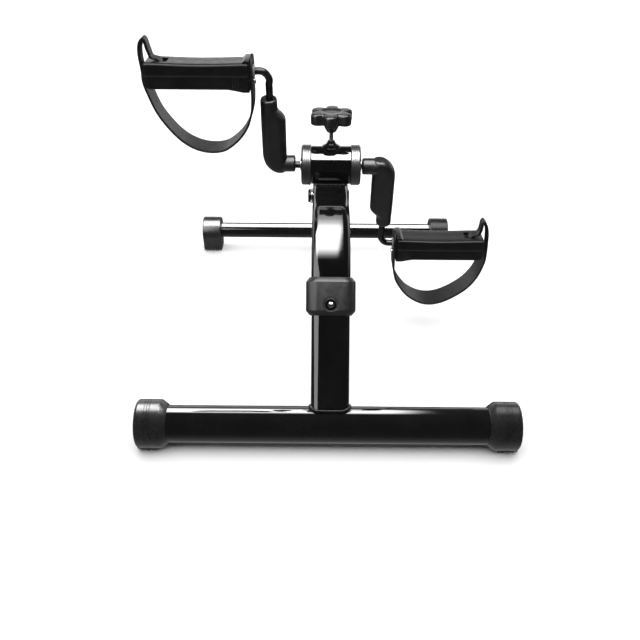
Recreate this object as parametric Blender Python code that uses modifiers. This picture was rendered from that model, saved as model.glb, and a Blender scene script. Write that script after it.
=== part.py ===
"""Folding exercise bike: a floor pedal exerciser with a folding rear leg.

Frame: X to the right, Y away from the front foot bar, Z up, metres.
The origin is on the floor, in the middle of the footprint.
"""
import math

import bmesh
import bpy
from mathutils import Matrix, Vector

MM = 0.001

# ----------------------------------------------------------------- sizes
GAP = 0.3 * MM                     # air left between touching pieces

FOOT_WIDTH = 397 * MM              # front foot bar over its caps
FRONT_Y = -225 * MM                # front foot tube, centre line
FRONT_Z = 20.5 * MM
FRONT_TUBE_R = 19 * MM
FRONT_CAP_R = 25 * MM
FRONT_CAP_LEN = 32 * MM
FRONT_X = -2 * MM                  # middle of the front bar and its caps

REAR_WIDTH = 366 * MM              # rear foot bar over its caps
REAR_X = -4 * MM                   # the bar sits a little to the left on its leg
REAR_Y = 228 * MM
REAR_Z = 29 * MM
REAR_TUBE_R = 11 * MM
REAR_CAP_R = 19.8 * MM
REAR_CAP_LEN = 27 * MM
REAR_PAD = 21 * MM                 # length of the pad on the floor, along Y

LEAN = math.radians(31.5)          # front leg, from the vertical
LEG_W, LEG_T, LEG_R = 39 * MM, 25 * MM, 8 * MM
ARCH_W, ARCH_T, ARCH_R = 40 * MM, 26 * MM, 8.5 * MM
WALL = 1.5 * MM
COLLAR_LOW, COLLAR_HIGH = 113 * MM, 152 * MM     # along the leg
COLLAR_W, COLLAR_T, COLLAR_R = 50.5 * MM, 37 * MM, 12 * MM
JOINT_S = 115.5 * MM                 # where the leg tube enters the arch tube
BEND_S = 149 * MM                  # where the arch starts to bend
ARCH_Z = 187.7 * MM                # level end of the arch, centre line
ARCH_END_Y = 12 * MM
BUTTON_S = 124 * MM                 # snap button, along the leg

AXLE_Y, AXLE_Z = -13 * MM, 222 * MM
BARREL_R, BARREL_BORE = 21 * MM, 17.5 * MM
BARREL_HALF = 22 * MM
HOUSING_HALF = 33 * MM             # over the end bushings
BUSHING_R = 22.3 * MM
ROD_R = 3.75 * MM
DRUM_R, DRUM_HALF = 11 * MM, 10 * MM

HINGE_Y, HINGE_Z = -20 * MM, ARCH_Z
HINGE_R = 4 * MM
REAR_LEG_W, REAR_LEG_T, REAR_LEG_R = 30 * MM, 21 * MM, 5 * MM
STOP_ALONG = 15 * MM               # stop pin, along the rear leg from the hinge

CRANK_R = 114 * MM
CRANK_LEAN = math.radians(15)      # left crank up, leaning to the front
CRANK_X = -1.2 * MM                # end play of the crank in its bushings
ARM_X = 64 * MM                    # crank arm, centre line
SLEEVE_OUT = 74 * MM
SLEEVE_WIDE = 26 * MM
SLEEVE_NARROW = 17 * MM
SLEEVE_DEPTH = 19 * MM
SLEEVE_SHOULDER = 60 * MM
SLEEVE_STEP = 70 * MM
SLEEVE_END = 83 * MM
STUB_R = 9.2 * MM
STUB_OFF = 1.6 * MM                 # the stub sits off the axle, towards the arm

PEDAL_IN, PEDAL_OUT = 84 * MM, 187.6 * MM          # pedal body, distance from the mid plane
PEDAL_DEPTH = 36 * MM
PEDAL_TOP, PEDAL_BOTTOM = 10.8 * MM, -15.2 * MM
PLATE_IN = 82 * MM                 # end plate of the pedal body
PLATE_TOP, PLATE_BOTTOM = 13.4 * MM, -18.2 * MM
SPINDLE_END = 180.5 * MM
SLOT_IN, SLOT_OUT = 165.5 * MM, 177.2 * MM         # slot that takes the strap's tongue
STRAP_W, STRAP_T = 34 * MM, 2.2 * MM
STRAP_IN = 79.2 * MM               # strap's face on the crank side
LUG_R = 17 * MM                    # round end of the strap about the spindle
STRAP_SCREW_Z = -10.2 * MM

STUD_R = 2.5 * MM
BOSS_TOP = 28.5 * MM               # above the axle
KNOB_LOW, KNOB_HIGH = 38 * MM, 60.8 * MM
KNOB_THICK = 12.4 * MM
KNOB_R, KNOB_VALLEY = 24.2 * MM, 16.4 * MM
KNOB_TURN = math.radians(26.2)         # where its lobes stand

# ----------------------------------------------------------------- scene
for obj in list(bpy.data.objects):
    bpy.data.objects.remove(obj, do_unlink=True)
for mesh in list(bpy.data.meshes):
    bpy.data.meshes.remove(mesh)

PARTS = bpy.data.collections.new("folding_exercise_bike")
CUTTERS = bpy.data.collections.new("cutters")
bpy.context.scene.collection.children.link(PARTS)
bpy.context.scene.collection.children.link(CUTTERS)

# direction of the front leg, its front normal, and the rear leg
U = Vector((0, math.sin(LEAN), math.cos(LEAN)))
N = Vector((0, -math.cos(LEAN), math.sin(LEAN)))
FRONT = Vector((0, FRONT_Y, FRONT_Z))
AXLE = Vector((0, AXLE_Y, AXLE_Z))
HINGE = Vector((0, HINGE_Y, HINGE_Z))
REAR = Vector((0, REAR_Y, REAR_Z))
RU = (REAR - HINGE).normalized()
RN = Vector((0, -RU.z, RU.y))      # the rear leg's upper normal


# ----------------------------------------------------------------- helpers
def material(name, rgb, rough, metal=0.0):
    mat = bpy.data.materials.new(name)
    mat.use_nodes = True
    bsdf = mat.node_tree.nodes["Principled BSDF"]
    bsdf.inputs["Base Color"].default_value = (*rgb, 1.0)
    bsdf.inputs["Roughness"].default_value = rough
    bsdf.inputs["Metallic"].default_value = metal
    mat.diffuse_color = (*rgb, 1.0)
    return mat


PAINT = (0.012, 0.012, 0.013), 0.12, 0.0
PLASTIC = (0.022, 0.022, 0.023), 0.42, 0.0
SATIN = (0.045, 0.045, 0.046), 0.36, 0.0
RUBBER = (0.016, 0.016, 0.016), 0.6, 0.0
STEEL = (0.62, 0.62, 0.63), 0.22, 1.0
DARKSTEEL = (0.09, 0.09, 0.09), 0.35, 1.0
NYLON = (0.28, 0.28, 0.28), 0.5, 0.0


def add_object(name, mesh, look=None, cutter=False):
    obj = bpy.data.objects.new(name, mesh)
    if cutter:
        CUTTERS.objects.link(obj)
        obj.hide_render = True
        obj.display_type = 'WIRE'
    else:
        PARTS.objects.link(obj)
        if look:
            obj.data.materials.append(material(name + "_finish", *look))
    return obj


def finish_mesh(bm, name):
    bmesh.ops.recalc_face_normals(bm, faces=bm.faces[:])
    mesh = bpy.data.meshes.new(name)
    bm.to_mesh(mesh)
    bm.free()
    mesh.shade_smooth()
    mesh.set_sharp_from_angle(angle=math.radians(35))
    return mesh


def frame_matrix(origin, x_axis, y_axis, z_axis):
    m = Matrix.Identity(4)
    for i, a in enumerate((x_axis, y_axis, z_axis)):
        m[0][i], m[1][i], m[2][i] = a[0], a[1], a[2]
    m.translation = origin
    return m


X = Vector((1, 0, 0))
Y = Vector((0, 1, 0))
Z = Vector((0, 0, 1))
ALONG_X = frame_matrix(Vector((0, 0, 0)), Y, Z, X)      # local Z runs along world X


def turned(name, profile, place, look=None, steps=32, cutter=False, ring=False):
    """A turned shape: profile points (radius, height), down the outer side."""
    mesh = bpy.data.meshes.new(name)
    verts = [(r, 0, h) for r, h in profile]
    n = len(verts)
    edges = [(i, i + 1) for i in range(n - 1)]
    if ring:
        edges.append((n - 1, 0))
    mesh.from_pydata(verts, edges, [])
    obj = add_object(name, mesh, look, cutter)
    obj.matrix_world = place
    mod = obj.modifiers.new("turn", 'SCREW')
    mod.axis = 'Z'
    mod.steps = steps
    mod.render_steps = steps
    mod.use_merge_vertices = True
    mod.merge_threshold = 0.00001
    mod.use_smooth_shade = True
    return obj


def tube_profile(r_out, r_in, z0, z1):
    return [(r_out, z1), (r_out, z0), (r_in, z0), (r_in, z1)]


def rod_profile(r, z0, z1, c=0.0):
    if c:
        return [(0, z1), (r - c, z1), (r, z1 - c), (r, z0 + c), (r - c, z0), (0, z0)]
    return [(0, z1), (r, z1), (r, z0), (0, z0)]


def boolean(obj, cutter, operation='DIFFERENCE'):
    mod = obj.modifiers.new("cut_" + cutter.name, 'BOOLEAN')
    mod.operation = operation
    mod.solver = 'EXACT'
    mod.object = cutter
    return mod


def bevel(obj, width, segments=3, angle=30):
    mod = obj.modifiers.new("round", 'BEVEL')
    mod.width = width
    mod.segments = segments
    mod.limit_method = 'ANGLE'
    mod.angle_limit = math.radians(angle)
    mod.use_clamp_overlap = True
    return mod


def box(name, size, place, look=None, cutter=False):
    bm = bmesh.new()
    bmesh.ops.create_cube(bm, size=1.0)
    bmesh.ops.scale(bm, vec=size, verts=bm.verts[:])
    mesh = finish_mesh(bm, name)
    obj = add_object(name, mesh, look, cutter)
    obj.matrix_world = place if isinstance(place, Matrix) else Matrix.Translation(place)
    return obj


def rounded_rect(w, t, r, per_corner=4):
    """Points of a rounded rectangle, counter-clockwise, width along the first axis."""
    pts = []
    for cx, cy, a0 in ((w / 2 - r, t / 2 - r, 0), (-w / 2 + r, t / 2 - r, 90),
                       (-w / 2 + r, -t / 2 + r, 180), (w / 2 - r, -t / 2 + r, 270)):
        for k in range(per_corner + 1):
            a = math.radians(a0 + 90 * k / per_corner)
            pts.append((cx + r * math.cos(a), cy + r * math.sin(a)))
    return pts


def loft_tube(name, stations, look, per_corner=4):
    """A hollow tube of rounded rectangular section, lofted between unlike sections.

    Each station: centre, in-plane normal, width, thickness, corner radius."""
    bm = bmesh.new()
    rings = []
    for centre, normal, w, t, r in stations:
        outer = rounded_rect(w, t, r, per_corner)
        inner = rounded_rect(w - 2 * WALL, t - 2 * WALL, max(r - WALL, 0.001), per_corner)
        rings.append([[bm.verts.new(centre + X * a + normal * b) for a, b in pts]
                      for pts in (outer, inner)])
    n = len(rings[0][0])
    for (o0, i0), (o1, i1) in zip(rings, rings[1:]):
        for k in range(n):
            j = (k + 1) % n
            bm.faces.new((o0[k], o0[j], o1[j], o1[k]))
            bm.faces.new((i0[j], i0[k], i1[k], i1[j]))
    for o, i in (rings[0], rings[-1]):
        for k in range(n):
            j = (k + 1) % n
            bm.faces.new((o[k], o[j], i[j], i[k]))
    return add_object(name, finish_mesh(bm, name), look)


def outline(name, points, half, place, look=None, cutter=False, holes=()):
    """A flat outline extruded to both sides, turned into a welded mesh."""
    curve = bpy.data.curves.new(name + "_outline", 'CURVE')
    curve.dimensions = '2D'
    curve.fill_mode = 'BOTH'
    curve.extrude = half
    for loop in (points, *holes):
        sp = curve.splines.new('POLY')
        sp.points.add(len(loop) - 1)
        for p, (a, b) in zip(sp.points, loop):
            p.co = (a, b, 0, 1)
        sp.use_cyclic_u = True
    tmp = bpy.data.objects.new(name + "_curve", curve)
    bpy.context.scene.collection.objects.link(tmp)
    deps = bpy.context.evaluated_depsgraph_get()
    mesh = bpy.data.meshes.new_from_object(tmp.evaluated_get(deps))
    bpy.data.objects.remove(tmp, do_unlink=True)
    bm = bmesh.new()
    bm.from_mesh(mesh)
    bmesh.ops.remove_doubles(bm, verts=bm.verts[:], dist=0.000005)
    bmesh.ops.dissolve_limit(bm, angle_limit=0.001, verts=bm.verts[:], edges=bm.edges[:])
    bpy.data.meshes.remove(mesh)
    obj = add_object(name, finish_mesh(bm, name), look, cutter)
    obj.matrix_world = place
    return obj


def rod(name, points, radius, look=None, cutter=False, resolution=3):
    """A bent rod along the points, as a welded mesh."""
    curve = bpy.data.curves.new(name + "_path", 'CURVE')
    curve.dimensions = '3D'
    curve.bevel_depth = radius
    curve.bevel_resolution = resolution
    curve.use_fill_caps = True
    sp = curve.splines.new('POLY')
    sp.points.add(len(points) - 1)
    for p, q in zip(sp.points, points):
        p.co = (*q, 1)
    tmp = bpy.data.objects.new(name + "_curve", curve)
    bpy.context.scene.collection.objects.link(tmp)
    deps = bpy.context.evaluated_depsgraph_get()
    mesh = bpy.data.meshes.new_from_object(tmp.evaluated_get(deps))
    bpy.data.objects.remove(tmp, do_unlink=True)
    bm = bmesh.new()
    bm.from_mesh(mesh)
    bmesh.ops.remove_doubles(bm, verts=bm.verts[:], dist=0.000005)
    bpy.data.meshes.remove(mesh)
    return add_object(name, finish_mesh(bm, name), look, cutter)


def arc(cx, cy, r, a0, a1, n):
    return [(cx + r * math.cos(math.radians(a0 + (a1 - a0) * k / n)),
             cy + r * math.sin(math.radians(a0 + (a1 - a0) * k / n))) for k in range(n + 1)]


def smooth_path(ctrl, per=5):
    """A Catmull-Rom curve through the control points."""
    pts = []
    c = [ctrl[0]] + list(ctrl) + [ctrl[-1]]
    for i in range(1, len(c) - 2):
        p0, p1, p2, p3 = (Vector(q) for q in c[i - 1:i + 3])
        for k in range(per):
            t = k / per
            pts.append(0.5 * ((2 * p1) + (p2 - p0) * t + (2 * p0 - 5 * p1 + 4 * p2 - p3) * t * t
                              + (3 * p1 - p0 - 3 * p2 + p3) * t ** 3))
    pts.append(Vector(ctrl[-1]))
    return pts


def at(origin, x_axis=X, y_axis=Y, z_axis=Z):
    return frame_matrix(origin, x_axis, y_axis, z_axis)


def along_x(y, z):
    return Matrix.Translation((0, y, z)) @ ALONG_X


# ----------------------------------------------------------------- front foot
BAR = FRONT + U * 1.2 * MM                        # centre of the bar, on the leg's line
turned("front_foot_tube",
       tube_profile(FRONT_TUBE_R, FRONT_TUBE_R - WALL,
                    FRONT_X - FOOT_WIDTH / 2 + 4 * MM, FRONT_X + FOOT_WIDTH / 2 - 4 * MM),
       along_x(BAR.y, BAR.z), PAINT, steps=40, ring=True)

floor_cut = box("floor_cutter", (1, 1, 0.1), Vector((0, 0, -0.05)), cutter=True)
for side, s in (("left", -1), ("right", 1)):
    out, inn = FOOT_WIDTH / 2, FOOT_WIDTH / 2 - FRONT_CAP_LEN
    r, c = FRONT_CAP_R, 4 * MM
    # cup over the tube's end, with a rounded outer edge and a sloping neck
    prof = [(0, out), (r - c, out)]
    prof += [(r - c + c * math.sin(math.radians(a)), out - c + c * math.cos(math.radians(a)))
             for a in (22.5, 45, 67.5)]
    prof += [(r, out - c), (r, inn + 6.6 * MM), (FRONT_TUBE_R + 1.6 * MM, inn + 0.8 * MM),
             (FRONT_TUBE_R + 0.8 * MM, inn), (FRONT_TUBE_R + GAP, inn), (FRONT_TUBE_R + GAP, out - 3.7 * MM),
             (0, out - 3.7 * MM)]
    place = Matrix.Translation((FRONT_X, 0, 0)) @ along_x(BAR.y, BAR.z)
    if s < 0:
        place = Matrix.Translation((FRONT_X, BAR.y, BAR.z)) @ Matrix.Rotation(math.pi, 4, 'Z') @ ALONG_X
    cap = turned("front_foot_cap_" + side, prof, place, PLASTIC, steps=32)
    foot = box("front_cap_foot_" + side, (FRONT_CAP_LEN - 6.9 * MM, 29 * MM, 16 * MM),
               Vector((FRONT_X + s * ((out + inn) / 2 + 3.15 * MM), BAR.y, 8 * MM)), cutter=True)
    bore = turned("front_cap_bore_" + side, rod_profile(FRONT_TUBE_R + GAP, inn - 10 * MM, out - 3.7 * MM), place,
                  steps=32, cutter=True)
    boolean(cap, foot, 'UNION')
    boolean(cap, bore)
    boolean(cap, floor_cut)

# ----------------------------------------------------------------- front leg and arch
foot_cut = turned("foot_tube_cutter", rod_profile(FRONT_TUBE_R + GAP, -0.1, 0.1),
                  along_x(BAR.y, BAR.z), steps=48, cutter=True)
spig_w, spig_t, spig_r = ARCH_W - 2 * WALL - 2 * GAP, ARCH_T - 2 * WALL - 2 * GAP, ARCH_R - WALL - GAP
leg = loft_tube("front_leg_tube", [
    (FRONT + U * 8 * MM, N, LEG_W, LEG_T, LEG_R),
    (FRONT + U * (JOINT_S - 2.4 * MM), N, LEG_W, LEG_T, LEG_R),
    (FRONT + U * (JOINT_S - 0.8 * MM), N, spig_w, spig_t, spig_r),
    (FRONT + U * (BEND_S - 2 * MM), N, spig_w, spig_t, spig_r)], PAINT)
boolean(leg, foot_cut)

bend_r = (ARCH_Z - FRONT_Z - math.cos(LEAN) * BEND_S) / (1 - math.sin(LEAN))
start = FRONT + U * BEND_S
centre = start - N * bend_r                       # centre of the bend, on the inner side
stations = [(FRONT + U * JOINT_S, N, ARCH_W, ARCH_T, ARCH_R),
            (start, N, ARCH_W, ARCH_T, ARCH_R)]
BEND_STEPS = 9
for k in range(1, BEND_STEPS + 1):
    a = (math.pi / 2 - LEAN) * k / BEND_STEPS
    n = Vector((0, -math.cos(LEAN + a), math.sin(LEAN + a)))
    stations.append((centre + n * bend_r, n, ARCH_W, ARCH_T, ARCH_R))
stations.append((Vector((0, ARCH_END_Y, ARCH_Z)), Z, ARCH_W, ARCH_T, ARCH_R))
arch = loft_tube("arch_tube", stations, PAINT)
slot_front = HINGE_Y - 25 * MM
slot = box("leg_slot_cutter", (ARCH_W - 2 * WALL - 1 * MM, 0.08, 0.02),
           Vector((0, slot_front + 0.04, ARCH_Z - ARCH_T / 2 - 0.01 + 4 * MM)), cutter=True)
boolean(arch, slot)
hinge_hole = turned("hinge_hole_cutter", rod_profile(HINGE_R + GAP, -0.025, 0.025),
                    along_x(HINGE_Y, HINGE_Z), steps=24, cutter=True)
boolean(arch, hinge_hole)
button_hole = turned("button_hole_cutter", rod_profile(4.3 * MM, 4 * MM, 14 * MM),
                     at(FRONT + U * BUTTON_S, U, -X, N), steps=24, cutter=True)
boolean(arch, button_hole)
boolean(leg, button_hole)

# ----------------------------------------------------------------- collar and snap button
collar_mid = FRONT + U * ((COLLAR_LOW + COLLAR_HIGH) / 2)
collar_half = (COLLAR_HIGH - COLLAR_LOW) / 2
collar = outline("leg_collar", rounded_rect(COLLAR_W, COLLAR_T, COLLAR_R, 5), collar_half,
                 at(collar_mid, X, N, -U), SATIN)
bevel(collar, 4.4 * MM, 1)
low_bore = outline("collar_low_bore", rounded_rect(LEG_W + 2 * GAP, LEG_T + 2 * GAP, LEG_R + GAP, 4),
                   20 * MM, at(FRONT + U * (JOINT_S - 20.0 * MM - 0.6 * MM), X, N, -U), cutter=True)
high_bore = outline("collar_high_bore", rounded_rect(ARCH_W + 2 * GAP, ARCH_T + 2 * GAP, ARCH_R + GAP, 4),
                    20 * MM, at(FRONT + U * (JOINT_S + 20 * MM - 0.8 * MM), X, N, -U), cutter=True)
boolean(collar, low_bore)
boolean(collar, high_bore)
BUTTON_AT = FRONT + U * BUTTON_S
ring_hole = turned("button_ring_cutter",
                   [(0, 30 * MM), (7.4 * MM, 30 * MM), (7.4 * MM, 18 * MM), (5.6 * MM, 15.5 * MM),
                    (5.6 * MM, 12 * MM), (0, 12 * MM)],
                   at(BUTTON_AT, U, -X, N), steps=24, cutter=True)
boolean(collar, ring_hole)
turned("snap_button",
       [(0, 16.6 * MM), (1.6 * MM, 16.3 * MM), (3 * MM, 15.3 * MM), (3.9 * MM, 13.6 * MM),
        (4 * MM, 12.8 * MM), (4 * MM, 9.4 * MM), (5.5 * MM, 9.4 * MM), (5.5 * MM, 8.2 * MM), (0, 8.2 * MM)],
       at(BUTTON_AT, U, -X, N), STEEL, steps=24)
# leaf spring folded in a V inside the leg tube, drawn pressed in
vee = [(0, -9.2), (34, -9.2), (36.3, -8.2), (37, -6), (36, -3.6), (34, -2.6), (0, 2.4), (0, 3.2),
       (34.2, -1.8), (36.6, -3.1), (37.8, -6), (37, -8.8), (34.3, -10)]
vee = [(a * MM, b * MM + 0.6 * MM) for a, b in vee] + [(0, -10 * MM + 0.6 * MM)]
outline("snap_button_spring", vee, 4 * MM,
        at(BUTTON_AT + U * 4 * MM, -U, N, X), STEEL)

# ----------------------------------------------------------------- crank housing
barrel = turned("crank_housing", tube_profile(BARREL_R, BARREL_BORE, -BARREL_HALF, BARREL_HALF),
                along_x(AXLE_Y, AXLE_Z), PAINT, steps=40, ring=True)
stud_hole = turned("stud_hole_cutter", rod_profile(STUD_R + GAP, 14 * MM, 40 * MM),
                   at(AXLE), steps=24, cutter=True)
boolean(barrel, stud_hole)
for side, s in (("left", -1), ("right", 1)):
    place = along_x(AXLE_Y, AXLE_Z)
    if s < 0:
        place = Matrix.Translation(AXLE) @ Matrix.Rotation(math.pi, 4, 'Z') @ ALONG_X
    b0, b1 = BARREL_HALF + GAP, HOUSING_HALF
    turned("housing_bushing_" + side,
           [(ROD_R + GAP, b1), (BUSHING_R - 3 * MM, b1), (BUSHING_R - 0.9 * MM, b1 - 0.9 * MM),
            (BUSHING_R, b1 - 3 * MM), (BUSHING_R, b0), (BARREL_BORE - GAP, b0),
            (BARREL_BORE - GAP, b0 - 9 * MM), (ROD_R + GAP, b0 - 9 * MM)],
           place, SATIN, steps=32, ring=True)

# push-on rings that keep the axle from sliding sideways
for side, s in (("left", -1), ("right", 1)):
    place = along_x(AXLE_Y, AXLE_Z)
    if s < 0:
        place = Matrix.Translation(AXLE) @ Matrix.Rotation(math.pi, 4, 'Z') @ ALONG_X
    turned("axle_ring_" + side, tube_profile(6.6 * MM, ROD_R + GAP, HOUSING_HALF + GAP, HOUSING_HALF + 1.6 * MM),
           place, STEEL, steps=24, ring=True)

# conical boss nut on the barrel
boss = turned("boss_nut",
              [(3.8 * MM, BOSS_TOP), (4.8 * MM, BOSS_TOP - 1 * MM), (7.6 * MM, 23.5 * MM),
               (10.5 * MM, 22.2 * MM), (10.5 * MM, 15 * MM), (STUD_R + GAP, 15 * MM), (STUD_R + GAP, BOSS_TOP)],
              at(AXLE), PAINT, steps=24, ring=True)
barrel_cut = turned("barrel_cutter", rod_profile(BARREL_R + GAP, -0.03, 0.03),
                    along_x(AXLE_Y, AXLE_Z), steps=48, cutter=True)
boolean(boss, barrel_cut)

# brake: the stud presses the shoe on the drum
turned("brake_drum", tube_profile(DRUM_R, ROD_R + GAP, -DRUM_HALF, DRUM_HALF),
       along_x(AXLE_Y, AXLE_Z), NYLON, steps=24, ring=True)
shoe = box("brake_shoe", (14 * MM, 13 * MM, 7 * MM),
           Vector((0, AXLE_Y, AXLE_Z + 11.1 * MM)), RUBBER)
drum_cut = turned("drum_cutter", rod_profile(DRUM_R + 1.0 * MM, -0.03, 0.03),
                  along_x(AXLE_Y, AXLE_Z), steps=24, cutter=True)
boolean(shoe, drum_cut)
STUD_LOW = 15.0 * MM
turned("knob_stud", rod_profile(STUD_R, STUD_LOW, KNOB_LOW + 14 * MM, 0.5 * MM), at(AXLE), STEEL, steps=16)


def knob_outline(lobes=6, n=60):
    pts = []
    for k in range(n):
        a = 2 * math.pi * k / n
        r = KNOB_R - (KNOB_R - KNOB_VALLEY) * (0.5 - 0.5 * math.cos(lobes * a)) ** 1.7
        pts.append((r * math.cos(a + KNOB_TURN), r * math.sin(a + KNOB_TURN)))
    return pts


knob = outline("tension_knob", knob_outline(), KNOB_THICK / 2,
               at(AXLE + Z * (KNOB_HIGH - KNOB_THICK / 2)), PLASTIC)
bevel(knob, 1.8 * MM, 2)
hub = turned("knob_hub_cutter",
             [(0, KNOB_HIGH - 4 * MM), (8.8 * MM, KNOB_HIGH - 4 * MM), (8.6 * MM, KNOB_HIGH - KNOB_THICK),
              (7.2 * MM, KNOB_LOW + 5 * MM), (5.0 * MM, KNOB_LOW + 0.8 * MM), (4 * MM, KNOB_LOW), (0, KNOB_LOW)],
             at(AXLE), steps=32, cutter=True)
boolean(knob, hub, 'UNION')
stud_pocket = turned("stud_pocket_cutter", rod_profile(STUD_R + GAP, 0.03, KNOB_LOW + 14 * MM + GAP),
                     at(AXLE), steps=24, cutter=True)
boolean(knob, stud_pocket)

# ----------------------------------------------------------------- fold hinge and rear leg
turned("hinge_bolt",
       [(0, 25.4 * MM), (6.2 * MM, 25.4 * MM), (7.6 * MM, 24.2 * MM), (7.6 * MM, 22.3 * MM),
        (HINGE_R, 22.3 * MM), (HINGE_R, -20.2 * MM), (0, -20.2 * MM)],
       Matrix.Translation(HINGE) @ Matrix.Rotation(math.pi, 4, 'Z') @ ALONG_X, DARKSTEEL, steps=24)
turned("hinge_washer", tube_profile(8.3 * MM, HINGE_R + GAP, 20.3 * MM, 22 * MM),
       Matrix.Translation(HINGE) @ Matrix.Rotation(math.pi, 4, 'Z') @ ALONG_X, STEEL, steps=24, ring=True)
# threaded insert riveted in the right wall of the arch tube
turned("hinge_insert",
       [(HINGE_R + GAP, 21 * MM), (7.4 * MM, 21 * MM), (7.4 * MM, 20.3 * MM), (5.7 * MM, 20.3 * MM),
        (5.7 * MM, 18.6 * MM), (HINGE_R + GAP, 18.6 * MM)],
       along_x(HINGE_Y, HINGE_Z), DARKSTEEL, steps=24, ring=True)
insert_hole = turned("hinge_insert_cutter", rod_profile(6 * MM, 15 * MM, 25 * MM),
                     along_x(HINGE_Y, HINGE_Z), steps=24, cutter=True)
boolean(arch, insert_hole)
for side, s in (("left", -1), ("right", 1)):
    place = along_x(HINGE_Y, HINGE_Z)
    if s < 0:
        place = Matrix.Translation(HINGE) @ Matrix.Rotation(math.pi, 4, 'Z') @ ALONG_X
    turned("hinge_spacer_" + side,
           tube_profile(5.8 * MM, HINGE_R + GAP, REAR_LEG_W / 2 + GAP, ARCH_W / 2 - WALL - GAP),
           place, NYLON, steps=24, ring=True)
turned("hinge_sleeve", tube_profile(6.2 * MM, HINGE_R + GAP, -REAR_LEG_W / 2 + WALL + GAP, REAR_LEG_W / 2 - WALL - GAP),
       along_x(HINGE_Y, HINGE_Z), STEEL, steps=24, ring=True)

rear_leg = loft_tube("rear_leg_tube", [
    (HINGE - RU * 12 * MM, RN, REAR_LEG_W, REAR_LEG_T, REAR_LEG_R),
    (REAR - RU * 5 * MM, RN, REAR_LEG_W, REAR_LEG_T, REAR_LEG_R)], PAINT)
# round end of the rear leg about the hinge
end_box = box("rear_leg_end_cutter", (0.06, 0.03, 0.04), at(HINGE - RU * 15 * MM, X, RU, RN), cutter=True)
end_round = turned("rear_leg_end_round", rod_profile(REAR_LEG_T / 2, -0.05, 0.05),
                   along_x(HINGE_Y, HINGE_Z), steps=48, cutter=True)
boolean(end_box, end_round)
boolean(rear_leg, end_box)
boolean(rear_leg, hinge_hole)
rear_tube_cut = turned("rear_tube_cutter", rod_profile(REAR_TUBE_R + GAP, -0.05, 0.05),
                       along_x(REAR_Y, REAR_Z), steps=36, cutter=True)
boolean(rear_leg, rear_tube_cut)
stop_at = HINGE + RU * STOP_ALONG + RN * (REAR_LEG_T / 2 + 3.2 * MM)
turned("leg_stop_pin", rod_profile(2.9 * MM, -ARCH_W / 2 + WALL + 0.9 * MM, ARCH_W / 2 - WALL - 0.9 * MM, 0.3 * MM),
       along_x(stop_at.y, stop_at.z), STEEL, steps=24)

turned("rear_foot_tube",
       tube_profile(REAR_TUBE_R, REAR_TUBE_R - WALL, REAR_X - REAR_WIDTH / 2 + 4 * MM,
                    REAR_X + REAR_WIDTH / 2 - 4 * MM),
       along_x(REAR_Y, REAR_Z), PAINT, steps=36, ring=True)
for side, s in (("left", -1), ("right", 1)):
    out, inn = REAR_WIDTH / 2, REAR_WIDTH / 2 - REAR_CAP_LEN
    r, c = REAR_CAP_R, 5 * MM
    # side view of the foot: a round head on a narrower pad
    half_pad = REAR_PAD / 2
    pts = arc(0, REAR_Z, r, -28, 208, 18)
    pts += [(-half_pad - 3 * MM, 2.5 * MM), (-half_pad, 0), (half_pad, 0), (half_pad + 3 * MM, 2.5 * MM)]
    foot = outline("rear_foot_cap_" + side, pts, REAR_CAP_LEN / 2,
                   at(Vector((REAR_X + s * (out + inn) / 2, REAR_Y, 0)), Y, Z, X), PLASTIC)
    bevel(foot, 4 * MM, 2)
    bore_end = REAR_WIDTH / 2 - 3.7 * MM
    bore = turned("rear_cap_bore_" + side, rod_profile(REAR_TUBE_R + GAP, REAR_X - bore_end, REAR_X + bore_end),
                  along_x(REAR_Y, REAR_Z), steps=36, cutter=True)
    boolean(foot, bore)

# ----------------------------------------------------------------- cranks
UP = Vector((0, -math.sin(CRANK_LEAN), math.cos(CRANK_LEAN)))    # left arm, up and to the front


def arm_path(s, direction):
    """Half of the crank rod, from the middle of the axle to the pedal's far end."""
    pts = [Vector((0, 0))]
    bend = 15 * MM
    pts += [Vector(p) for p in arc(ARM_X - bend, bend, bend, -90, 0, 6)]
    pts += [Vector((ARM_X, CRANK_R - 14 * MM)), Vector((ARM_X - 0.6 * MM, CRANK_R - 10.5 * MM)),
            Vector((ARM_X + 0.2 * MM, CRANK_R - 6.8 * MM)), Vector((ARM_X + 2.6 * MM, CRANK_R - 3.2 * MM)),
            Vector((ARM_X + 5.6 * MM, CRANK_R - 0.8 * MM)), Vector((ARM_X + 9 * MM, CRANK_R)),
            Vector((SPINDLE_END, CRANK_R))]
    return [AXLE + X * (s * p.x + (CRANK_X if p.x else 0)) + direction * p.y for p in pts]


left_half = arm_path(-1, UP)
right_half = arm_path(1, -UP)
crank_points = left_half[:0:-1] + right_half
rod("crank_rod", crank_points, ROD_R, STEEL, resolution=3)
rod_cut = rod("crank_rod_cutter", crank_points, ROD_R + 0.35 * MM, cutter=True, resolution=3)

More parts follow.
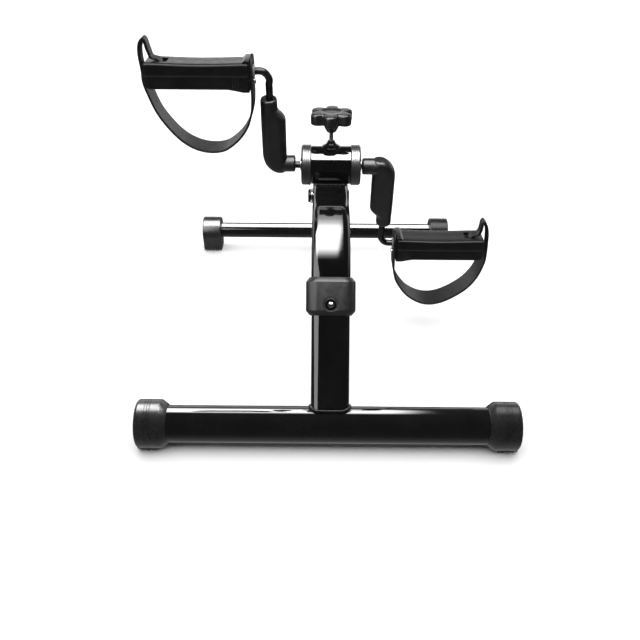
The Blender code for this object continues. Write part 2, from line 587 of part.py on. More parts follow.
for side, s, direction in (("left", -1, UP), ("right", 1, -UP)):
    # outline in the plane of the crank: distance from the mid plane, distance from the axle
    xo, xi = SLEEVE_OUT, SLEEVE_OUT - SLEEVE_WIDE
    xn = SLEEVE_OUT - 0.4 * MM - SLEEVE_NARROW
    low = STUB_OFF - STUB_R
    pts = [(xi + 2 * MM, low)]
    pts += [(xo - 17 * MM * (1 - math.cos(math.radians(a))), low + 23 * MM * (1 + math.sin(math.radians(a))))
            for a in (-90, -75, -60, -45, -30, -15, 0)]
    pts += [(xo, SLEEVE_SHOULDER), (xo - 0.4 * MM, SLEEVE_END - 3 * MM), (xo - 1.9 * MM, SLEEVE_END),
            (xn + 1.5 * MM, SLEEVE_END), (xn, SLEEVE_END - 3 * MM), (xn, SLEEVE_STEP), (xi, SLEEVE_SHOULDER), (xi, 0)]
    if s > 0:
        local_x, local_y = X, direction
    else:
        local_x, local_y = -X, direction
    local_z = local_x.cross(local_y)
    sleeve = outline("crank_sleeve_" + side, pts, SLEEVE_DEPTH / 2,
                     at(AXLE + X * CRANK_X, local_x, local_y, local_z), PLASTIC)
    bevel(sleeve, 5.5 * MM, 3, 40)
    stub_in = 38.4 * MM if s < 0 else 36.3 * MM
    stub = turned("sleeve_stub_" + side, rod_profile(STUB_R, stub_in, 60 * MM, 1.2 * MM),
                  Matrix.Translation(AXLE + X * CRANK_X + direction * STUB_OFF)
                  @ (ALONG_X if s > 0 else Matrix.Rotation(math.pi, 4, 'Z') @ ALONG_X),
                  steps=24, cutter=True)
    boolean(sleeve, stub, 'UNION')
    boolean(sleeve, rod_cut)

# ----------------------------------------------------------------- pedals
# strap's outer face: distance from the mid plane, height over the spindle, width, thickness.
# It runs from the tongue in the slot, up and over, down the outer side, under the
# pedal and up to the round lug about the spindle.
STRAP_LEFT = [(170.6, 9.4, 14, 2.2), (172.6, 11.5, 14, 2.2), (175.2, 13.0, 14, 2.2), (178.4, 13.7, 14, 2.3),
              (180.6, 15.2, 14, 2.6), (181.4, 18.6, 14, 3.0), (182.6, 22.6, 14, 3.2), (183.6, 27.0, 14, 3.2),
              (185.0, 31.0, 14, 3.2), (187.4, 33.0, 14, 3.2), (190.6, 31.0, 14, 3.2), (193.3, 25.2, 14, 3.2),
              (194.0, 15.4, 14, 3.0), (192.4, 1.0, 16, 2.5), (191.4, -8.0, 24, 2.2), (188.0, -18.8, 29, 2.2),
              (177.6, -43.9, 29, 2.2), (157.8, -68.2, 31, 2.2), (136.2, -79.8, 34, 2.2), (113.0, -80.0, 35, 2.2),
              (96.0, -68.8, 34, 2.2), (85.4, -54.6, 34, 2.2), (80.4, -39.0, 34, 2.2), (79.2, -26.0, 34, 2.2),
              (79.2, -12.0, 34, 2.2), (79.2, 0.0, 34, 2.2)]
STRAP_RIGHT = [(170.6, 9.4, 14, 2.2), (172.6, 11.5, 14, 2.2), (175.2, 13.0, 14, 2.2), (178.4, 13.7, 14, 2.3),
               (181.0, 15.4, 14, 2.6), (182.6, 18.8, 14, 3.0), (183.3, 23.6, 14, 3.2), (183.8, 28.2, 14, 3.2),
               (185.6, 31.4, 14, 3.2), (188.4, 30.8, 14, 3.2), (191.8, 25.4, 14, 3.2), (194.0, 15.4, 14, 3.0),
               (194.4, 1.0, 16, 2.5), (193.6, -8.0, 24, 2.2), (191.3, -20.0, 33, 2.2), (183.3, -41.2, 34, 2.2),
               (168.5, -59.4, 34, 2.2), (143.1, -75.0, 34, 2.2), (120.7, -77.6, 34, 2.2), (99.5, -67.4, 31, 2.2),
               (85.2, -49.4, 29, 2.2), (80.2, -34.0, 31, 2.2), (79.2, -22.0, 34, 2.2), (79.2, -12.0, 34, 2.2),
               (79.2, 0.0, 34, 2.2)]


def strap_mesh(name, ctrl, place, look):
    """A band of varying width lofted along its path, with a round lug at its end."""
    path = smooth_path([(a * MM, b * MM, w * MM, t * MM) for a, b, w, t in ctrl], 3)
    path += [Vector((STRAP_IN, LUG_R * math.sin(math.radians(a)), 2 * LUG_R * math.cos(math.radians(a)), STRAP_T))
             for a in (20, 40, 58, 72, 83)]
    bm = bmesh.new()
    rings = []
    for k, p in enumerate(path):
        t = path[min(k + 1, len(path) - 1)].xy - path[max(k - 1, 0)].xy
        t.normalize()
        q = p.xy + Vector((t.y, -t.x)) * p.w
        h = p.z / 2
        rings.append([bm.verts.new(c) for c in ((p.x, p.y, -h), (p.x, p.y, h), (q.x, q.y, h), (q.x, q.y, -h))])
    for a, b in zip(rings, rings[1:]):
        for k in range(4):
            j = (k + 1) % 4
            bm.faces.new((a[k], a[j], b[j], b[k]))
    bm.faces.new(rings[0])
    bm.faces.new(rings[-1])
    obj = add_object(name, finish_mesh(bm, name), look)
    obj.matrix_world = place
    return obj


for side, s, ctrl in (("left", -1, STRAP_LEFT), ("right", 1, STRAP_RIGHT)):
    spindle = AXLE + X * CRANK_X + (UP if s < 0 else -UP) * CRANK_R
    px = X * s
    place = at(spindle, px, Z, px.cross(Z))
    # pedal body, drawn from the front
    t, b = PEDAL_TOP, PEDAL_BOTTOM
    pts = [(PEDAL_IN, b), (PEDAL_OUT - 5 * MM, b), (PEDAL_OUT, b + 5 * MM), (PEDAL_OUT, t - 1.5 * MM),
           (PEDAL_OUT - 1.5 * MM, t), (PEDAL_IN, t)]
    body = outline("pedal_body_" + side, pts, PEDAL_DEPTH / 2, place, PLASTIC)
    bevel(body, 2.0 * MM, 2, 50)
    plate = outline("pedal_plate_" + side,
                    [(PLATE_IN, PLATE_BOTTOM + 1 * MM), (PLATE_IN + 1 * MM, PLATE_BOTTOM),
                     (PEDAL_IN + 4.6 * MM, PLATE_BOTTOM), (PEDAL_IN + 22 * MM, b + 0.3 * MM),
                     (PEDAL_IN + 22 * MM, b + 4 * MM), (PEDAL_IN + 7 * MM, b + 4 * MM),
                     (PEDAL_IN + 7 * MM, t - 1 * MM), (PEDAL_IN + 3 * MM, PLATE_TOP), (PLATE_IN, PLATE_TOP)],
                    16 * MM, place, cutter=True)
    boolean(body, plate, 'UNION')
    # spindle bore, open at the inner end, wider behind the clip
    xplace = Matrix.Translation(spindle) @ (ALONG_X if s > 0 else Matrix.Rotation(math.pi, 4, 'Z') @ ALONG_X)
    bore = turned("pedal_bore_" + side,
                  [(0, 210 * MM), (6.5 * MM, 210 * MM), (6.5 * MM, 181 * MM), (7 * MM, 181 * MM), (7 * MM, 174.4 * MM),
                   (ROD_R + 0.5 * MM, 174.4 * MM), (ROD_R + 0.5 * MM, 93 * MM), (6.6 * MM, 93 * MM),
                   (6.6 * MM, 70 * MM), (0, 70 * MM)],
                  xplace, steps=24, cutter=True)
    boolean(body, bore)
    tongue_slot = box("pedal_slot_" + side, (SLOT_OUT - SLOT_IN, 17 * MM, 10 * MM),
                      spindle + px * ((SLOT_OUT + SLOT_IN) / 2) + Z * 11.7 * MM, cutter=True)
    boolean(body, tongue_slot)
    screw_place = Matrix.Translation(Z * STRAP_SCREW_Z) @ xplace
    screw_hole = turned("strap_screw_hole_" + side, rod_profile(1.8 * MM, 70 * MM, 91 * MM),
                        screw_place, steps=16, cutter=True)
    boolean(body, screw_hole)
    turned("strap_screw_" + side,
           [(0, 90.4 * MM), (1.5 * MM, 90.4 * MM), (1.5 * MM, STRAP_IN - 0.3 * MM), (3.2 * MM, STRAP_IN - 0.3 * MM),
            (3.2 * MM, STRAP_IN - 1.2 * MM), (2.2 * MM, STRAP_IN - 2.1 * MM), (0, STRAP_IN - 2.4 * MM)],
           screw_place, STEEL, steps=16)
    turned("pedal_bushing_" + side,
           tube_profile(6.3 * MM, ROD_R + GAP, STRAP_IN - 1.4 * MM, 92.5 * MM),
           xplace, NYLON, steps=24, ring=True)
    turned("spindle_clip_" + side, tube_profile(6.2 * MM, ROD_R + GAP, 175.4 * MM, 176.8 * MM),
           xplace, STEEL, steps=24, ring=True)
    strap = strap_mesh("pedal_strap_" + side, ctrl, place, RUBBER)
    spindle_gap = turned("strap_spindle_hole_" + side, rod_profile(6.9 * MM, 70 * MM, 83 * MM), xplace,
                         steps=24, cutter=True)
    boolean(strap, spindle_gap)
    boolean(strap, screw_hole)

# ----------------------------------------------------------------- axes of motion
BODIES = [
    ("rear_leg_axis", None, HINGE, ("rear_leg_tube", "rear_foot_tube", "rear_foot_cap_left", "rear_foot_cap_right",
                                    "hinge_sleeve", "hinge_spacer_left", "hinge_spacer_right")),
    ("crank_axis", None, AXLE, ("crank_rod", "crank_sleeve_left", "crank_sleeve_right", "brake_drum",
                                "axle_ring_left", "axle_ring_right", "spindle_clip_left", "spindle_clip_right")),
    ("pedal_left_axis", "crank_axis", AXLE + UP * CRANK_R,
     ("pedal_body_left", "pedal_strap_left", "strap_screw_left", "pedal_bushing_left")),
    ("pedal_right_axis", "crank_axis", AXLE - UP * CRANK_R,
     ("pedal_body_right", "pedal_strap_right", "strap_screw_right", "pedal_bushing_right")),
    ("brake_axis", None, AXLE, ("brake_shoe",)),
    ("knob_axis", "brake_axis", AXLE + Z * KNOB_LOW, ("tension_knob", "knob_stud")),
    ("button_axis", None, BUTTON_AT, ("snap_button",)),
]
axes = {}
for empty_name, parent, point, names in BODIES:
    empty = bpy.data.objects.new(empty_name, None)
    empty.empty_display_size = 0.02
    PARTS.objects.link(empty)
    empty.location = point
    if parent:
        empty.parent = axes[parent][0]
        empty.matrix_parent_inverse = Matrix.Translation(-axes[parent][1])
    axes[empty_name] = (empty, point)
    for name in names:
        child = bpy.data.objects[name]
        child.parent = empty
        child.matrix_parent_inverse = Matrix.Translation(-point)
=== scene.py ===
import math

import bmesh
import bpy
from mathutils import Matrix, Vector


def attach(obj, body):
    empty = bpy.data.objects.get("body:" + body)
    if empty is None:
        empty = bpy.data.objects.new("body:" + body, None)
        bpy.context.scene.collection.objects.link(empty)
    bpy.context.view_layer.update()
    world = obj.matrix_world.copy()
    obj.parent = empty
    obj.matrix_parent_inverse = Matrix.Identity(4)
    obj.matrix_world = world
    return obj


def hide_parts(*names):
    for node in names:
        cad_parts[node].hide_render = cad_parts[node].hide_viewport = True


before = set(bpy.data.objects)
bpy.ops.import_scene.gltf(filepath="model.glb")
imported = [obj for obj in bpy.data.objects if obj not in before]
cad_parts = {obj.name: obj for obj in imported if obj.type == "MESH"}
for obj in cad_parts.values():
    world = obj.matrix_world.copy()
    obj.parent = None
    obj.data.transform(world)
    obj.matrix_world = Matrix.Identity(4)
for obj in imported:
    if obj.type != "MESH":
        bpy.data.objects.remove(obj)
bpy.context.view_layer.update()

# Folding floor pedal exerciser: the fine surfaces round the working frame.
# X to the right, Y away from the front foot bar, Z up, metres.
MM = 0.001
X, Y, Z = Vector((1, 0, 0)), Vector((0, 1, 0)), Vector((0, 0, 1))

# ------------------------------------------------------------ sizes shared with the frame
LEAN = math.radians(31.5)
U = Vector((0, math.sin(LEAN), math.cos(LEAN)))
N = Vector((0, -math.cos(LEAN), math.sin(LEAN)))
FRONT = Vector((0, -225, 20.5)) * MM
REAR = Vector((0, 228, 29)) * MM
REAR_X = -4 * MM
AXLE = Vector((0, -13, 222)) * MM
HINGE = Vector((0, -20, 187.7)) * MM
RU = (REAR - HINGE).normalized()
RN = Vector((0, -RU.z, RU.y))
CRANK_LEAN = math.radians(15)
UP = Vector((0, -math.sin(CRANK_LEAN), math.cos(CRANK_LEAN)))
CRANK_R = 114 * MM
CRANK_X = -1.2 * MM
WALL = 1.5 * MM
GAP = 0.3 * MM
FRONT_R, REAR_R = 19 * MM, 11 * MM
FRONT_X = -2 * MM
BAR = FRONT + U * 1.2 * MM
JOINT_S, BEND_S, BUTTON_S = 115.5 * MM, 149 * MM, 124 * MM
ARCH_Z, ARCH_END_Y = 187.7 * MM, 12 * MM
ROD_R = 3.75 * MM


# ------------------------------------------------------------ camera
cam_data = bpy.data.cameras.new("studio_camera")
cam = bpy.data.objects.new("studio_camera", cam_data)
bpy.context.scene.collection.objects.link(cam)
cam.matrix_world = (Matrix.Translation((-0.0108, -0.8527, 0.5324))
                    @ Matrix.Rotation(math.pi / 2 - LEAN, 4, 'X')
                    @ Matrix.Rotation(math.radians(0.45), 4, 'Z'))
cam_data.sensor_width = 36
cam_data.lens = 783 / 640 * 36
cam_data.clip_start = 0.01
bpy.context.scene.camera = cam


# ------------------------------------------------------------ finishes
def surface(name, dark, light, rough, metal=0.0, ior=1.45, blotch=55.0, haze=240.0,
            grain=1300.0, depth=0.012, stretch=(1, 1, 1), wear=0.0, detail=3.0):
    """A node-based finish: cloudy colour, uneven gloss, fine grain and paler worn edges."""
    mat = bpy.data.materials.new(name)
    mat.use_nodes = True
    nodes, links = mat.node_tree.nodes, mat.node_tree.links
    bsdf = nodes["Principled BSDF"]
    bsdf.inputs["Metallic"].default_value = metal
    bsdf.inputs["IOR"].default_value = ior
    coords = nodes.new("ShaderNodeTexCoord")
    mapping = nodes.new("ShaderNodeMapping")
    mapping.inputs["Scale"].default_value = stretch
    links.new(coords.outputs["Object"], mapping.inputs["Vector"])

    def noise(scale, octaves, source=mapping):
        node = nodes.new("ShaderNodeTexNoise")
        node.inputs["Scale"].default_value = scale
        node.inputs["Detail"].default_value = octaves
        node.inputs["Roughness"].default_value = 0.55
        links.new(source.outputs[0 if source is mapping else "Object"], node.inputs["Vector"])
        return node

    clouds = noise(blotch, 5.0)
    ramp = nodes.new("ShaderNodeValToRGB")
    ramp.color_ramp.elements[0].position = 0.34
    ramp.color_ramp.elements[0].color = (*dark, 1)
    ramp.color_ramp.elements[1].position = 0.70
    ramp.color_ramp.elements[1].color = (*light, 1)
    links.new(clouds.outputs["Fac"], ramp.inputs["Fac"])
    colour = ramp.outputs["Color"]
    if wear:
        geo = nodes.new("ShaderNodeNewGeometry")
        edge = nodes.new("ShaderNodeMapRange")
        edge.inputs["From Min"].default_value = 0.56
        edge.inputs["From Max"].default_value = 0.66
        edge.inputs["To Max"].default_value = wear
        links.new(geo.outputs["Pointiness"], edge.inputs["Value"])
        mix = nodes.new("ShaderNodeMix")
        mix.data_type = 'RGBA'
        links.new(edge.outputs["Result"], mix.inputs["Factor"])
        links.new(colour, mix.inputs[6])
        mix.inputs[7].default_value = (*[min(1.0, c * 4 + 0.02) for c in light], 1)
        colour = mix.outputs[2]
    links.new(colour, bsdf.inputs["Base Color"])

    cloud2 = noise(haze, 3.0)
    rng = nodes.new("ShaderNodeMapRange")
    rng.inputs["From Min"].default_value = 0.3
    rng.inputs["From Max"].default_value = 0.7
    rng.inputs["To Min"].default_value = rough[0]
    rng.inputs["To Max"].default_value = rough[1]
    links.new(cloud2.outputs["Fac"], rng.inputs["Value"])
    links.new(rng.outputs["Result"], bsdf.inputs["Roughness"])

    fine = noise(grain, detail)
    bump = nodes.new("ShaderNodeBump")
    bump.inputs["Strength"].default_value = 1.0
    bump.inputs["Distance"].default_value = depth * MM
    links.new(fine.outputs["Fac"], bump.inputs["Height"])
    links.new(bump.outputs["Normal"], bsdf.inputs["Normal"])
    return mat


PAINT = surface("gloss_black_paint", (0.004, 0.004, 0.00412), (0.007, 0.007, 0.00721), (0.05, 0.09),
                ior=1.36, blotch=30, haze=90, grain=230, depth=0.0005, wear=0.08)
CAP = surface("cap_plastic", (0.012, 0.012, 0.0125), (0.019, 0.019, 0.020), (0.24, 0.34),
              ior=1.42, blotch=70, haze=160, grain=1100, depth=0.010, wear=0.25)
PEDAL = surface("pedal_plastic", (0.004, 0.004, 0.00412), (0.008, 0.008, 0.00824), (0.30, 0.40),
                ior=1.45, blotch=60, haze=200, grain=1000, depth=0.012, wear=0.25)
SLEEVE = surface("sleeve_plastic", (0.006, 0.006, 0.006), (0.010, 0.010, 0.010), (0.30, 0.40),
                 ior=1.40, blotch=50, haze=180, grain=1200, depth=0.010, wear=0.2)
KNOB = surface("knob_plastic", (0.007, 0.007, 0.00721), (0.013, 0.013, 0.01339), (0.24, 0.36),
               ior=1.45, blotch=90, haze=260, grain=900, depth=0.014, wear=0.3)
SATIN = surface("collar_plastic", (0.01, 0.01, 0.0103), (0.016, 0.016, 0.01648), (0.30, 0.42),
                ior=1.45, blotch=80, haze=220, grain=1500, depth=0.014, wear=0.25)
BUSH = surface("bushing_plastic", (0.014, 0.014, 0.014), (0.024, 0.024, 0.0245), (0.28, 0.38),
               ior=1.50, blotch=70, haze=260, grain=1200, depth=0.010, stretch=(3, 1, 1), wear=0.3)
RUBBER = surface("strap_rubber", (0.003, 0.003, 0.00309), (0.009, 0.009, 0.00927), (0.42, 0.58),
                 ior=1.45, blotch=260, haze=420, grain=760, depth=0.04, wear=0.2, detail=5.0)
NYLON = surface("nylon", (0.20, 0.20, 0.195), (0.27, 0.27, 0.26), (0.40, 0.52),
                blotch=120, haze=300, grain=1500, depth=0.010, wear=0.2)
BRAKE = surface("brake_pad_felt", (0.030, 0.025, 0.022), (0.060, 0.052, 0.046), (0.75, 0.90),
                blotch=600, haze=500, grain=1800, depth=0.06, detail=6.0)
DARK_STEEL = surface("dark_steel", (0.028, 0.028, 0.029), (0.055, 0.055, 0.057), (0.26, 0.38), metal=1.0,
                     blotch=120, haze=300, grain=1600, depth=0.006, stretch=(0.25, 1, 1), wear=0.4)
STEEL = surface("bright_steel", (0.52, 0.52, 0.53), (0.70, 0.70, 0.71), (0.14, 0.26), metal=1.0,
                blotch=140, haze=380, grain=1500, depth=0.004, wear=0.1)


# ------------------------------------------------------------ mesh tools
def basis(origin, x_axis, y_axis, z_axis):
    m = Matrix.Identity(4)
    for i, a in enumerate((x_axis, y_axis, z_axis)):
        m[0][i], m[1][i], m[2][i] = a[0], a[1], a[2]
    m.translation = origin
    return m


def along_x(point, s=1):
    """Local Z runs along world X, outwards on side s."""
    turn = Matrix.Identity(4) if s > 0 else Matrix.Rotation(math.pi, 4, 'Z')
    return Matrix.Translation(point) @ turn @ basis(Vector((0, 0, 0)), Y, Z, X)


def emit(name, bm, look=None, angle=32):
    bmesh.ops.recalc_face_normals(bm, faces=bm.faces[:])
    mesh = bpy.data.meshes.new(name)
    bm.to_mesh(mesh)
    bm.free()
    mesh.shade_smooth()
    mesh.set_sharp_from_angle(angle=math.radians(angle))
    obj = bpy.data.objects.new(name, mesh)
    bpy.context.scene.collection.objects.link(obj)
    if look:
        mesh.materials.append(look)
    return obj


def bake(obj, angle=32):
    """Turns an object's modifiers into its mesh."""
    deps = bpy.context.evaluated_depsgraph_get()
    mesh = bpy.data.meshes.new_from_object(obj.evaluated_get(deps))
    old = obj.data
    obj.modifiers.clear()
    obj.data = mesh
    bpy.data.meshes.remove(old)
    mesh.name = obj.name
    mesh.shade_smooth()
    mesh.set_sharp_from_angle(angle=math.radians(angle))
    return obj


def cut(obj, *cutters, op='DIFFERENCE', angle=32):
    for c in cutters:
        mod = obj.modifiers.new("cut", 'BOOLEAN')
        mod.operation = op
        mod.solver = 'EXACT'
        mod.object = c
    bake(obj, angle)
    for c in cutters:
        bpy.data.objects.remove(c, do_unlink=True)
    return obj


def bevel(obj, width, segments=4, angle=30, limit=32):
    mod = obj.modifiers.new("round", 'BEVEL')
    mod.width = width
    mod.segments = segments
    mod.limit_method = 'ANGLE'
    mod.angle_limit = math.radians(angle)
    return bake(obj, limit)


def melt(obj, voxel, rounds, factor=0.5):
    """Runs the surface together, as in a moulding: even voxels, then smoothing."""
    mod = obj.modifiers.new("skin", 'REMESH')
    mod.mode = 'VOXEL'
    mod.voxel_size = voxel
    mod = obj.modifiers.new("soften", 'SMOOTH')
    mod.iterations = rounds
    mod.factor = factor
    return bake(obj, 60)


def skin(bm, rings, closed=False, cap=True):
    """Quads between rings of equal length; a ring of one repeated vertex is a pole."""
    n = len(rings[0])
    pairs = list(zip(rings, rings[1:])) + ([(rings[-1], rings[0])] if closed else [])
    for a, b in pairs:
        for k in range(n):
            j = (k + 1) % n
            face = []
            for v in (a[k], a[j], b[j], b[k]):
                if v not in face:
                    face.append(v)
            if len(face) > 2:
                bm.faces.new(face)
    if cap and not closed:
        for ring in (rings[0], rings[-1]):
            if ring[0] is not ring[1]:
                bm.faces.new(ring)


def lathe(name, profile, place, look=None, steps=96, ring=False, angle=32):
    """A turned shape from (radius, height) points."""
    bm = bmesh.new()
    rings = []
    for r, h in profile:
        if r < 1e-7:
            rings.append([bm.verts.new(place @ Vector((0, 0, h)))] * steps)
        else:
            rings.append([bm.verts.new(place @ Vector((r * math.cos(2 * math.pi * k / steps),
                                                       r * math.sin(2 * math.pi * k / steps), h)))
                          for k in range(steps)])
    skin(bm, rings, closed=ring, cap=False)
    return emit(name, bm, look, angle)


def pipe_profile(r_out, r_in, z0, z1, c=0.0):
    if c:
        return [(r_out - c, z1), (r_out, z1 - c), (r_out, z0 + c), (r_out - c, z0),
                (r_in + c, z0), (r_in, z0 + c), (r_in, z1 - c), (r_in + c, z1)]
    return [(r_out, z1), (r_out, z0), (r_in, z0), (r_in, z1)]


def plug(r, z0, z1, place, steps=48):
    """A plain round cutter."""
    return lathe("plug", [(0, z1), (r, z1), (r, z0), (0, z0)], place, steps=steps)


def rounded_rect(w, t, r, n=10):
    pts = []
    for cx, cy, a0 in ((w / 2 - r, t / 2 - r, 0), (-w / 2 + r, t / 2 - r, 90),
                       (-w / 2 + r, -t / 2 + r, 180), (w / 2 - r, -t / 2 + r, 270)):
        for k in range(n + 1):
            a = math.radians(a0 + 90 * k / n)
            pts.append((cx + r * math.cos(a), cy + r * math.sin(a)))
    return pts


def pipe_loft(name, stations, look, n=10):
    """A hollow tube of rounded rectangular section; stations: centre, normal, width, depth, radius."""
    bm = bmesh.new()
    outer, inner = [], []
    for centre, normal, w, t, r in stations:
        outer.append([bm.verts.new(centre + X * a + normal * b) for a, b in rounded_rect(w, t, r, n)])
        inner.append([bm.verts.new(centre + X * a + normal * b)
                      for a, b in rounded_rect(w - 2 * WALL, t - 2 * WALL, max(r - WALL, 0.001), n)])
    skin(bm, outer + inner[::-1], closed=True)
    return emit(name, bm, look)


def prism(name, outline, half, place, look=None):
    """A flat outline made solid to both sides of its plane."""
    bm = bmesh.new()
    rings = [[bm.verts.new(place @ Vector((a, b, h))) for a, b in outline] for h in (-half, half)]
    skin(bm, rings)
    return emit(name, bm, look)


def block(name, size, place, look=None):
    w, d, h = (v / 2 for v in size)
    m = place if isinstance(place, Matrix) else Matrix.Translation(place)
    return prism(name, [(-w, -d), (w, -d), (w, d), (-w, d)], h, m, look)


def sweep(name, points, radius, look, sides=24, closed=False, ups=None, angle=40):
    """A round bar along points; radius may be a list."""
    n = len(points)
    radii = radius if isinstance(radius, list) else [radius] * n
    bm = bmesh.new()
    rings, normal = [], None
    for i in range(n):
        a = points[(i - 1) % n] if closed else points[max(i - 1, 0)]
        b = points[(i + 1) % n] if closed else points[min(i + 1, n - 1)]
        t = (b - a).normalized()
        if ups:
            normal = ups[i]
        elif normal is None:
            normal = Z if abs(t.z) < 0.9 else Y
        normal = (normal - t * normal.dot(t)).normalized()
        side = t.cross(normal)
        rings.append([bm.verts.new(points[i] + (normal * math.cos(2 * math.pi * k / sides)
                                                + side * math.sin(2 * math.pi * k / sides)) * radii[i])
                      for k in range(sides)])
    skin(bm, rings, closed=closed)
    return emit(name, bm, look, angle)


def resample(points, step, closed=False):
    """Even steps along a polyline."""
    pts = points + ([points[0]] if closed else [])
    lengths = [0.0]
    for a, b in zip(pts, pts[1:]):
        lengths.append(lengths[-1] + (b - a).length)
    count = max(3, round(lengths[-1] / step))
    out, i = [], 0
    for k in range(count if closed else count + 1):
        d = lengths[-1] * k / count
        while i < len(lengths) - 2 and lengths[i + 1] < d:
            i += 1
        f = (d - lengths[i]) / max(lengths[i + 1] - lengths[i], 1e-9)
        out.append(pts[i].lerp(pts[i + 1], f))
    return out


def weld_bead(name, points, outward, radius, body, closed=False, pitch=1.7 * MM):
    """A rippled weld bead; outward gives the bead's outer side at a point."""
    pts = resample(points, 0.36 * MM, closed)
    ups = [outward(p) for p in pts]
    length = sum((b - a).length for a, b in zip(pts, pts[1:]))
    turns = max(1, round(length / pitch))
    radii, moved = [], []
    for k, (p, up) in enumerate(zip(pts, ups)):
        phase = (k / len(pts) * turns) % 1.0
        ripple = math.sin(math.pi * phase ** 0.65)
        wander = math.sin(k * 0.061) * 0.5 + math.sin(k * 0.023 + 1.3) * 0.5
        radii.append(radius * (0.90 + 0.13 * ripple + 0.04 * wander))
        moved.append(p + up * radius * (0.05 * ripple + 0.05 * wander))
    if not closed:
        for k in range(4):
            radii[k] *= 0.55 + 0.12 * k
            radii[-1 - k] *= 0.55 + 0.12 * k
    obj = sweep(name, moved, radii, PAINT, sides=14, closed=closed, ups=ups, angle=60)
    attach(obj, body)
    return obj


def arc(cx, cy, r, a0, a1, n):
    return [(cx + r * math.cos(math.radians(a0 + (a1 - a0) * k / n)),
             cy + r * math.sin(math.radians(a0 + (a1 - a0) * k / n))) for k in range(n + 1)]


def smooth_path(ctrl, per):
    """A Catmull-Rom curve through the control points."""
    pts = []
    c = [ctrl[0]] + list(ctrl) + [ctrl[-1]]
    for i in range(1, len(c) - 2):
        p0, p1, p2, p3 = (Vector(q) for q in c[i - 1:i + 3])
        for k in range(per):
            t = k / per
            pts.append(0.5 * ((2 * p1) + (p2 - p0) * t + (2 * p0 - 5 * p1 + 4 * p2 - p3) * t * t
                              + (3 * p1 - p0 - 3 * p2 + p3) * t ** 3))
    pts.append(Vector(ctrl[-1]))
    return pts


def stand_for(obj, node, body):
    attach(obj, body)
    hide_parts(node)
    return obj


SIDES = (("left", -1), ("right", 1))

# ------------------------------------------------------------ front foot
tube = lathe("front_bar", pipe_profile(FRONT_R, FRONT_R - WALL, -191 * MM, 191 * MM),
             along_x(BAR + X * FRONT_X), PAINT, steps=160, ring=True)
stand_for(tube, "front_foot_tube", "frame")

for side, s in SIDES:
    out, inn, r, c = 195 * MM, 163 * MM, 25 * MM, 4 * MM
    prof = [(0, out - 0.7 * MM), (11.5 * MM, out - 0.7 * MM), (12.3 * MM, out - 0.5 * MM), (12.8 * MM, out - 0.1 * MM),
            (13.4 * MM, out)]
    prof += [(r - c + c * math.sin(math.radians(a)), out - c + c * math.cos(math.radians(a)))
             for a in range(0, 91, 9)]
    # shallow rings moulded round the cap, then the sloping neck at its mouth
    for x0 in (184.5, 181.9, 179.3):
        prof += [(r, (x0 + 0.55) * MM), (r - 0.28 * MM, (x0 + 0.25) * MM), (r - 0.28 * MM, (x0 - 0.25) * MM),
                 (r, (x0 - 0.55) * MM)]
    prof += [(r, inn + 7.6 * MM), (r - 0.15 * MM, inn + 6.9 * MM), (r - 0.6 * MM, inn + 6.1 * MM),
             (FRONT_R + 2.2 * MM, inn + 1.6 * MM), (FRONT_R + 1.5 * MM, inn + 0.8 * MM),
             (FRONT_R + 0.8 * MM, inn + 0.2 * MM), (FRONT_R + 0.5 * MM, inn),
             (FRONT_R + GAP, inn + 0.3 * MM), (FRONT_R + GAP, out - 3.7 * MM), (0, out - 3.7 * MM)]
    cap = lathe("front_cap_" + side, prof, along_x(BAR + X * FRONT_X, s), CAP, steps=144)
    bm = bmesh.new()
    bm.from_mesh(cap.data)
    bmesh.ops.bisect_plane(bm, geom=bm.verts[:] + bm.edges[:] + bm.faces[:], dist=1e-7,
                           plane_co=(0, 0, 0), plane_no=(0, 0, 1), clear_inner=True)
    open_edges = [e for e in bm.edges if e.is_boundary]
    bmesh.ops.holes_fill(bm, edges=open_edges)
    bmesh.ops.recalc_face_normals(bm, faces=bm.faces[:])
    bm.to_mesh(cap.data)
    bm.free()
    # square foot under the round cap
    pad = block("pad", (25.1 * MM, 29 * MM, 16 * MM), Vector((FRONT_X + s * 182.15 * MM, BAR.y, 8 * MM)))
    bevel(pad, 0.8 * MM, 4)
    cut(cap, pad, op='UNION', angle=40)
    cut(cap, plug(FRONT_R + GAP, 150 * MM, out - 3.7 * MM, along_x(BAR + X * FRONT_X, s), 144), angle=40)
    # grip grooves across the pad
    grooves = [block("groove", (20 * MM, 1.6 * MM, 2.0 * MM), Vector((FRONT_X + s * 182 * MM, BAR.y + dy * MM, 0)))
               for dy in (-7, 0, 7)]
    cut(cap, *grooves)
    stand_for(cap, "front_foot_cap_" + side, "frame")

# ------------------------------------------------------------ front leg and arch
LEG = (39 * MM, 25 * MM, 8 * MM)
ARCH = (40 * MM, 26 * MM, 8.5 * MM)
SPIGOT = (ARCH[0] - 2 * WALL - 2 * GAP, ARCH[1] - 2 * WALL - 2 * GAP, ARCH[2] - WALL - GAP)
leg = pipe_loft("front_leg", [(FRONT + U * 8 * MM, N, *LEG),
                              (FRONT + U * (JOINT_S - 2.4 * MM), N, *LEG),
                              (FRONT + U * (JOINT_S - 0.8 * MM), N, *SPIGOT),
                              (FRONT + U * (BEND_S - 2 * MM), N, *SPIGOT)], PAINT)
button_at = basis(FRONT + U * BUTTON_S, U, -X, N)
cut(leg, plug(FRONT_R + 0.05 * MM, -0.1, 0.1, along_x(BAR), 160))
cut(leg, plug(4.3 * MM, 4 * MM, 14 * MM, button_at))
stand_for(leg, "front_leg_tube", "frame")

